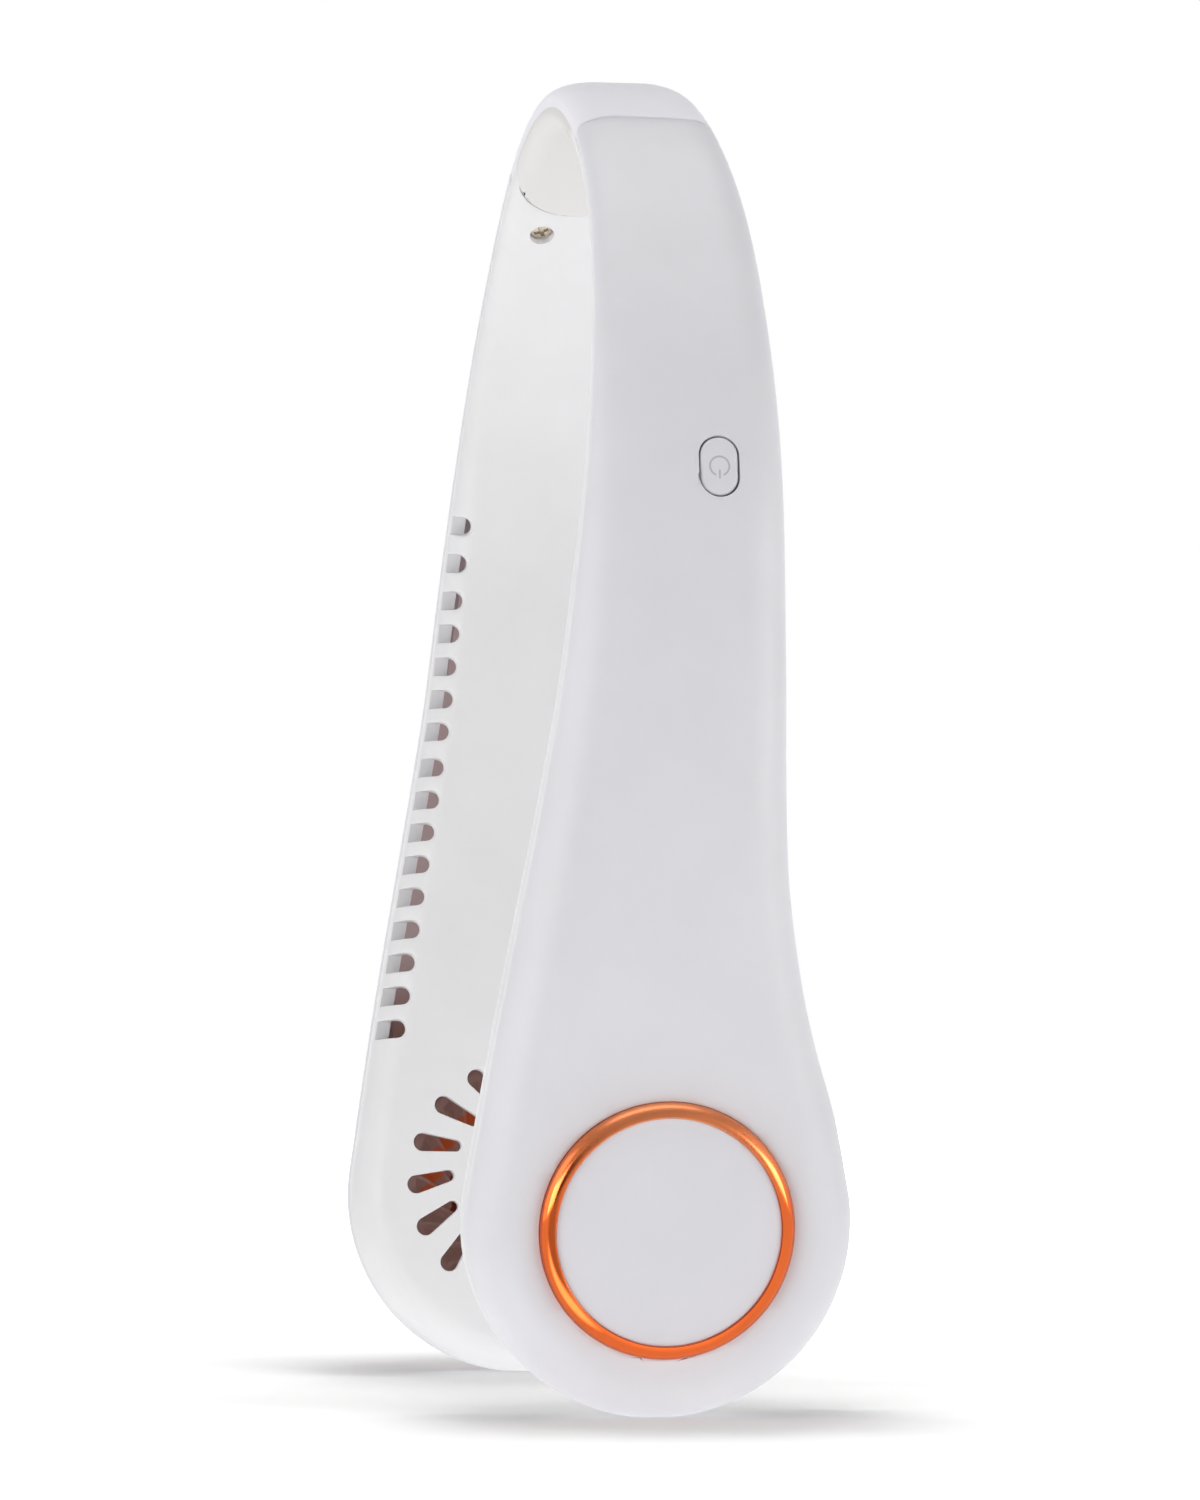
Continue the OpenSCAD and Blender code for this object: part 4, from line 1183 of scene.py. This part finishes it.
class NECKFAN_OT_bridge(bpy.types.Operator):
    """The soft bridge: sleeve, liner, spring band and wires, each in two halves."""

    bl_idname = "neck_fan.bridge"
    bl_label = "Bridge"

    def execute(self, context):
        seam, soft = SEAM_S + SEAM_GAP / 2, sizes().soft_round
        for arm, name in ARMS.items():
            half = "button_side" if arm < 0 else "plain_side"

            def soften_ends(obj):
                soften(obj, soft, {SKIN, CUT}, 35, 3, 0.4, lambda p: p.y * arm > 0.02)
                smooth(obj, 35)

            sleeve = bridge_solid(f"bridge_sleeve_{half}", 1, SPLIT_H, SEAM_S - 1, arm)
            mark(sleeve, SKIN)
            hollow = band_solid("hollow", *SLEEVE_HOLLOW, SEAM_S - 3, arm, beyond=True)
            cut_away(sleeve, before_cutter(seam, -60, arm))
            cut_away(sleeve, hollow)
            soften_ends(sleeve)
            settle(sleeve, materials()["sleeve"], None, "soft_sleeve", "bridge_sleeve")

            liner = bridge_solid(
                f"bridge_liner_{half}", -1, LINER_RIM, LINER_END_S - 2, arm, 56, LINER_PROUD, LINER_SIDE)
            mark(liner, SKIN)
            cut_away(liner, before_cutter(seam, LINER_IN - LINER_SEAT_GAP - depth(-1, SEAM_S), arm))
            cut_away(liner, prism("cut", end_outline(), -40, 12, station(LINER_END_S, 0, arm)))
            soften_ends(liner)
            settle(liner, materials()["liner"], None, "soft_liner", "bridge_liner")

            screw_s, screw_x = SCREWS[0]
            band = band_solid(f"spring_band_{half}", *BAND, screw_s - 4.4, arm)
            boolean(band, prism("cut", circle(2.5, 48), -1, 1, station(screw_s, screw_x, arm)))
            smooth(band)
            settle(band, materials()["spring"], None, "spring_steel", "spring_band")

            wires = ribbon(f"bridge_wires_{half}", arm)
            settle(wires, materials()["wire"], None, "wire", "bridge_wires")

            start, end = spot(0, CROWN_S - 4, 0, arm), spot(0, SEAM_S, 0, arm)
            start.z = end.z = BEND_Z
            for obj in (sleeve, liner, band, wires):
                crown_flat(obj)
                tuple(start)
                tuple(end)
                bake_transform(obj)
        return {"FINISHED"}


def end_outline():
    """All that the rounded end of the liner leaves free, as one outline."""
    inner = liner_outline(0, LINER_CORNER_R + 2)[1:-1]
    right, left = inner[0][0], inner[-1][0]
    y = inner[0][1]
    return [(left - 20, y), (left - 20, -30), (right + 20, -30), (right + 20, y)] + inner


def before_cutter(s, low, arm):
    """All of the arm before a station, down to a height."""
    return prism("cut", box(-60, 60, -40, 0), low, 60, station(s, 0, arm))


def band_solid(name, left, right, low, high, first, arm, beyond=False):
    """A flat band inside the bridge, up to the crown or a little beyond it."""
    section = rounded([(left, low), (left, high), (right, high), (right, low)], 0.12, 2)
    rows = [[spot(x, s, h, arm) for x, h in section] for s in bridge_stations(first)]
    if beyond:
        rows.append([spot(x, CROWN_S, h, arm) + Vector((0, -arm * 0.002, 0)) for x, h in section])
    return laid_grid(name, rows, closed=True)


def ribbon(name, arm):
    """A flat ribbon of four insulated wires side by side."""
    outline = []
    for start, order in ((math.pi, (0, 1, 2, 3)), (0.0, (3, 2, 1, 0))):
        for k in order:
            centre = WIRES_LEFT + WIRE_W * (k + 0.5)
            for x, y in arc(0, 0, 1, start, -math.pi, 6):
                outline.append((centre + WIRE_W / 2 * x, WIRES_H + WIRE_R * y))
    clean = [p for i, p in enumerate(outline) if math.dist(p, outline[i - 1]) > 1e-6]
    rows = [[spot(x, s, h, arm) for x, h in clean] for s in bridge_stations(SEAM_S - 6)]
    obj = laid_grid(name, rows, closed=True)
    smooth(obj, 60)
    return obj


class NECKFAN_OT_screws(bpy.types.Operator):
    """The cross-recessed screws that hold each inner shell."""

    bl_idname = "neck_fan.screws"
    bl_label = "Screws"

    def execute(self, context):
        low, high = SCREW_SEAT_H - 1.1, SCREW_SEAT_H + 4.6
        profile = [(2 * x, low + 0.45 * (1 + y)) for x, y in arc(0, 0, 1, -math.pi / 2, math.pi / 2, 8)]
        profile[0] = (0, low)
        profile += [(2, SCREW_SEAT_H), (0.9, SCREW_SEAT_H), (0.9, high - 0.5), (0, high - 0.1)]
        w, reach = 0.36, 1.35
        quarter = [(w, w), (w, reach), (-w, reach)]
        cross = [
            (x * c - y * k, x * k + y * c)
            for c, k in ((1, 0), (0, 1), (-1, 0), (0, -1)) for x, y in quarter]
        turned = Matrix.Rotation(math.radians(24), 4, "Z")
        for arm, name in ARMS.items():
            made = []
            for s, x in SCREWS:
                screw = spun("screw", profile, 48)
                boolean(screw, prism("cut", cross, low - 0.5, low + 0.75, turned))
                smooth(screw, 35)
                place(screw, station(s, x, arm))
                made.append(screw)
            obj = joined(made, f"{name}_shell_screws")
            settle(obj, materials()["screw"], name, "screw", f"{name}_screws")
        return {"FINISHED"}


def materials():
    return {m["piece_finish"]: m for m in bpy.data.materials if "piece_finish" in m}


class NECKFAN_OT_finishes(bpy.types.Operator):
    """Makes the finishes, and gives the carried-over CAD nodes theirs."""

    bl_idname = "neck_fan.finishes"
    bl_label = "Finishes"

    def execute(self, context):
        f = finish()
        made = {
            "outer": moulded("outer_shell_plastic", f.outer, 0.46, Specular_IOR_Level=0.45),
            "inner": moulded("inner_shell_plastic", f.inner, 0.46, Specular_IOR_Level=0.45),
            "disc": moulded("disc_plastic", f.disc, 0.5, grain=0.3, Specular_IOR_Level=0.4),
            # The button takes the outer shells' tone, with its painted shade and cool tint.
            "button": moulded("button_plastic", shade(f.outer, 0.99), 0.42, Specular_IOR_Level=0.45),
            "symbol": moulded("symbol_inlay", (0.50, 0.51, 0.54), 0.35, mottle=0.01),
            "sleeve": silicone("sleeve_silicone", f.sleeve),
            "liner": silicone("liner_silicone", f.liner),
            "trim": plated("plated_orange", f.trim),
            "duct": painted_glow_plastic("duct_plastic", f.duct, 0.5),
            "hub": moulded("hub_plastic", f.hub, 0.4, mottle=0.05),
            "screw": metal("screw_steel", (0.72, 0.64, 0.54), 0.2),
            "spring": metal("spring_steel", (0.50, 0.52, 0.55), 0.25),
            "port": metal("port_steel", (0.70, 0.69, 0.67), 0.22),
            "winding": metal("winding_copper", (0.80, 0.36, 0.17), 0.3),
            "bearing": metal("bearing_bronze", (0.60, 0.42, 0.20), 0.35),
            "rotor": metal("rotor_steel", (0.45, 0.45, 0.46), 0.35),
            "magnet": moulded("magnet_black", (0.03, 0.03, 0.035), 0.4, mottle=0.1),
            "board": moulded("board_green", (0.02, 0.12, 0.05), 0.3, mottle=0.1),
            "switch": moulded("switch_black", (0.03, 0.03, 0.03), 0.45, mottle=0.1),
            "led": moulded("led_lens", (0.85, 0.80, 0.60), 0.15, mottle=0.02),
            "cell": moulded("cell_wrap", (0.05, 0.16, 0.42), 0.3, mottle=0.05),
            "wire": moulded("wire_sleeve", (0.42, 0.02, 0.02), 0.35, mottle=0.06),
        }
        for key, m in made.items():
            m["piece_finish"] = key
        for arm, name in ARMS.items():
            made["impeller"] = painted_glow_plastic(f"{name}_impeller_plastic", f.fan, 0.42, arm)
            for end, key in (
                ("air_duct", "duct"), ("stator", "winding"), ("bearing", "bearing"), ("battery", "cell"),
                ("wires", "wire"), ("impeller", "impeller"), ("rotor", "rotor"), ("magnet", "magnet"),
                ("shaft", "rotor"),
            ):
                dress(f"{name}_{end}", made[key])
            dress_hub(f"{name}_impeller", fan_station(arm), made["hub"])
        for node, key in (
            ("circuit_board", "board"), ("button_switch", "switch"), ("status_led", "led"),
            ("charge_port_shell", "port"), ("charge_port_tongue", "switch"), ("switch_plunger", "switch"),
        ):
            dress(node, made[key])
        return {"FINISHED"}


def dress(node, material):
    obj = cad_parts[node]
    if not obj.data.materials:
        obj.data.materials.append(material)
    for i in range(len(obj.data.materials)):
        obj.data.materials[i] = material


def painted_glow_plastic(name, colour, rough, arm=None):
    """Brown plastic with a painted glow in place of the light reaching it through the slots: brighter
    higher up, or on an impeller's hub ring.
    """
    n = Finish(name)
    cloud = n.ramp(n.spread(n.noise(900, 2), 0, 1), (0.3, shade(colour, 0.92)), (0.7, shade(colour, 1.04)))
    height = n.height(n.coords)
    if arm is None:
        glow = n.ramp(n.spread(height, 0, 1, *GLOW_Z), (0.0, GLOW_LOW), (1.0, GLOW_HIGH))
    else:
        axis = fan_station(arm)
        local = n.add("Mapping", {
            "Location": axis.to_translation(), "Rotation": axis.to_euler(), "Vector": n.coords,
        }, vector_type="TEXTURE")
        flat = n.add("VectorMath", {0: local.outputs[0], 1: (1, 1, 0)}, operation="MULTIPLY")
        away = n.add("VectorMath", {0: flat.outputs[0]}, operation="LENGTH")
        low, high = GLOW_SPAN
        a, b = ((r - low) / (high - low) for r in HUB_RING_R)
        ring = n.ramp(
            n.spread(away.outputs["Value"], 0, 1, low, high),
            (a - 0.01, GLOW_LOW), (a, GLOW_HUB), (b, GLOW_HUB), (b + 0.01, GLOW_LOW))
        glow = n.add("Mix", {
            "Factor": n.spread(height, 0, 1, HUB_RING_Z - 0.0004, HUB_RING_Z),
            "A": (*GLOW_LOW, 1), "B": ring,
        }, data_type="RGBA").outputs["Result"]
    n.put(
        Base_Color=cloud, Roughness=rough, Specular_IOR_Level=0.35, Emission_Color=glow,
        Emission_Strength=1.0,
    )
    return n.material


def dress_hub(node, axis, material):
    """Gives the middle of an impeller the hub's finish."""
    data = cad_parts[node].data
    data.materials.append(material)
    back = axis.inverted()
    for p in data.polygons:
        at = back @ p.center
        if math.hypot(at.x, at.y) < HUB_R * MM:
            p.material_index = len(data.materials) - 1


# ---------------------------------------------------------------- stage

CAMERA_PLACE = (-0.21571, -1.18797, 0.07629)
CAMERA_TURN = math.radians(10.4045)
CAMERA_PITCH = math.radians(1.6583)
CAMERA_LENS = 167.04
# Direction, the cosines between which the tone changes, and the tones at them
ROOM_TONES = (
    ((-0.50, -0.866, -0.03), (0.90, 0.985), (1.0, 0.12)),
    ((0, -0.6, 0.8), (0.6, 0.98), (1.0, 1.0)),
)
WORLD_LIGHT = 0.0
WORLD_MIRRORED = 0.55
LAMP_TINT = (1.0, 0.995, 0.99)
# Name, place, aim, size and power of each lamp
LAMPS = (
    ("left_softbox", (-1.5, -0.25, 0.45), (0, 0, 0.12), (1.2, 1.4), 6.6),
    ("right_softbox", (1.5, -0.25, 0.45), (0, 0, 0.12), (1.2, 1.4), 3.3),
    ("top_softbox", (0, 0, 1.6), (0, 0, 0.1), (1.4, 1.4), 14.0),
    ("left_low", (-1.2, -0.9, 0.25), (0, 0, 0.1), (0.9, 0.45), 6.2),
    ("right_low", (1.2, -0.9, 0.25), (0, 0, 0.1), (0.9, 0.45), 6.7),
    ("left_back", (-1.3, 1.0, 0.5), (0, 0, 0.12), (1.0, 1.0), 0.5),
    ("right_back", (1.3, 1.0, 0.5), (0, 0, 0.12), (1.0, 1.0), 2.2),
    ("back_softbox", (0.15, 1.7, 0.2), (0, 0, 0.12), (1.2, 0.8), 5.0),
)
# The floor as glossy faces mirror it: the place it is seen from, and its tones as in the room's table
FLOOR_TONES_FROM = (0, -0.0765, 0.0305)
FLOOR_TONES = (
    ((-0.55, -0.80, -0.225), (0.90, 0.975), (1.0, 0.0)),
    ((-0.66, -0.46, -0.59), (0.91, 0.98), (1.0, 6.0)),
    ((0.12, -0.69, -0.71), (0.80, 0.97), (1.0, 1.7)),
)
# The light that the floor throws up beyond what falls on it
FLOOR_BOUNCE = 0.46
# How far off the part still shades the floor's glow, then the share of the glow left where little of the
# sky is open and where most is, and those two shares of open sky
FLOOR_CONTACT_REACH = 0.11
FLOOR_CONTACT = (0.18, 1.0, 0.77, 0.93)
# The glow of the floor as seen: its strength near the part and far off, and those two distances
FLOOR_LIFT = (0.56, 1.0, 0.2, 0.6)


class NECKFAN_OT_stage(bpy.types.Operator):
    """The pale floor, the soft studio lamps and the camera."""

    bl_idname = "neck_fan.stage"
    bl_label = "Studio"

    def execute(self, context):
        scene = context.scene
        scene.view_settings.view_transform = "Standard"
        scene.world = bpy.data.worlds.new("studio_world")
        scene.world.use_nodes = True
        t = Tree(scene.world.node_tree)
        light = t.add("Background", {
            0: room_tone(t), 1: t.spread(t.light_path("Is Glossy Ray"), WORLD_LIGHT, WORLD_MIRRORED, 0, 1)})
        white = t.add("Background", {0: (1, 1, 1, 1), 1: 1.0})
        mix = t.add("MixShader", {0: t.seen_directly(), 1: light.outputs[0], 2: white.outputs[0]})
        t.add("OutputWorld", {0: mix.outputs[0]})

        deselect()
        bpy.ops.mesh.primitive_plane_add(size=12, location=(0, 2.0, 0))
        floor = bpy.context.object
        floor.name = "studio_floor"
        bpy.ops.object.transform_apply(location=True, rotation=True, scale=True)
        floor.data.materials.append(floor_finish())

        for name, place_at, aim, size, power in LAMPS:
            data = bpy.data.lights.new(name, "AREA")
            data.shape = "RECTANGLE"
            data.size, data.size_y = size
            data.energy = power
            data.color = LAMP_TINT
            lamp = bpy.data.objects.new(name, data)
            scene.collection.objects.link(lamp)
            lamp.location = place_at
            lamp.rotation_euler = (Vector(aim) - Vector(place_at)).to_track_quat("-Z", "Y").to_euler()

        data = bpy.data.cameras.new("camera")
        data.lens, data.sensor_width, data.sensor_fit = CAMERA_LENS, 36, "AUTO"
        data.clip_start, data.clip_end = 0.01, 50
        cam = bpy.data.objects.new("camera", data)
        scene.collection.objects.link(cam)
        cam.location = CAMERA_PLACE
        level = math.cos(CAMERA_PITCH)
        ahead = Vector((
            math.sin(CAMERA_TURN) * level, math.cos(CAMERA_TURN) * level, math.sin(CAMERA_PITCH)))
        cam.rotation_mode = "QUATERNION"
        cam.rotation_quaternion = ahead.to_track_quat("-Z", "Y")
        scene.camera = cam
        return {"FINISHED"}


def room_tone(t):
    """The tone of the room that glossy faces mirror: darker towards one side of the camera."""
    tone = t.tone_by_direction(t.add("TexCoord").outputs["Generated"], ROOM_TONES)
    return t.add(
        "Mix", {"A": (0, 0, 0, 1), "B": (0.94, 0.96, 1.0, 1), "Factor": tone}, data_type="RGBA",
        clamp_factor=False).outputs["Result"]


def floor_finish():
    """A pale floor that the camera sees as white, whose matt part keeps the fan's real shadow, and whose
    glow carries a painted shade near the fan from ambient occlusion.
    """
    material = bpy.data.materials.new("studio_floor")
    material.use_nodes = True
    t = Tree(material.node_tree)
    place_of = t.add("TexCoord").outputs["Object"]
    away = t.add("VectorMath", {0: place_of}, operation="LENGTH").outputs["Value"]
    near = t.add("AmbientOcclusion", {"Distance": FLOOR_CONTACT_REACH}, samples=16).outputs["AO"]
    seen = t.seen_directly()
    # Painted shade: the glow that the camera sees is dimmed where ambient occlusion finds the fan near.
    glow = t.maths(
        "MULTIPLY", t.maths("MULTIPLY", seen, t.spread(near, *FLOOR_CONTACT, smooth=True)),
        t.spread(away, *FLOOR_LIFT))
    aside = t.add("VectorMath", {0: place_of, 1: FLOOR_TONES_FROM}, operation="SUBTRACT").outputs[0]
    toward = t.add("VectorMath", {0: aside}, operation="NORMALIZE").outputs[0]
    mirrored = t.add("Mix", {
        "A": 1.0, "B": t.tone_by_direction(toward, FLOOR_TONES), "Factor": t.light_path("Is Glossy Ray"),
    }, data_type="FLOAT", clamp_factor=False).outputs["Result"]
    thrown = t.maths("MULTIPLY", t.spread(seen, FLOOR_BOUNCE, 0.0, 0, 1), mirrored)
    emitted = t.add("Emission", {"Color": (1, 1, 1, 1), "Strength": t.maths("ADD", glow, thrown)})
    matt = t.add("BsdfDiffuse", {"Color": (*finish().floor, 1)})
    both = t.add("AddShader", {0: matt.outputs[0], 1: emitted.outputs[0]})
    t.add("OutputMaterial", {"Surface": both.outputs[0]})
    return material


class NECKFAN_PT_panel(bpy.types.Panel):
    """Sizes, colours and steps of the neck fan."""

    bl_idname = "NECKFAN_PT_panel"
    bl_label = "Neck fan"
    bl_space_type = "VIEW_3D"
    bl_region_type = "UI"
    bl_category = "Neck fan"

    def draw(self, context):
        for group in (context.scene.neck_fan_sizes, context.scene.neck_fan_finish):
            box = self.layout.box()
            for key in group.bl_rna.properties.keys():
                if key not in {"rna_type", "name"}:
                    box.prop(group, key)
        for op in STEPS:
            self.layout.operator(op.bl_idname)


STEPS = (
    NECKFAN_OT_stage, NECKFAN_OT_finishes, NECKFAN_OT_outer_shells, NECKFAN_OT_inner_shells,
    NECKFAN_OT_trim, NECKFAN_OT_button, NECKFAN_OT_bridge, NECKFAN_OT_screws,
)
CLASSES = (NeckFanSizes, NeckFanFinish, *STEPS, NECKFAN_PT_panel)


def register():
    for c in CLASSES:
        bpy.utils.register_class(c)
    bpy.types.Scene.neck_fan_sizes = PointerProperty(type=NeckFanSizes)
    bpy.types.Scene.neck_fan_finish = PointerProperty(type=NeckFanFinish)


def unregister():
    del bpy.types.Scene.neck_fan_finish
    del bpy.types.Scene.neck_fan_sizes
    for c in reversed(CLASSES):
        bpy.utils.unregister_class(c)


def main():
    register()
    for op in STEPS:
        group, name = op.bl_idname.split(".")
        result = getattr(getattr(bpy.ops, group), name)()
        if result != {"FINISHED"}:
            raise RuntimeError(f"{op.bl_label} did not finish")
    deselect()


if __name__ == "__main__":
    main()
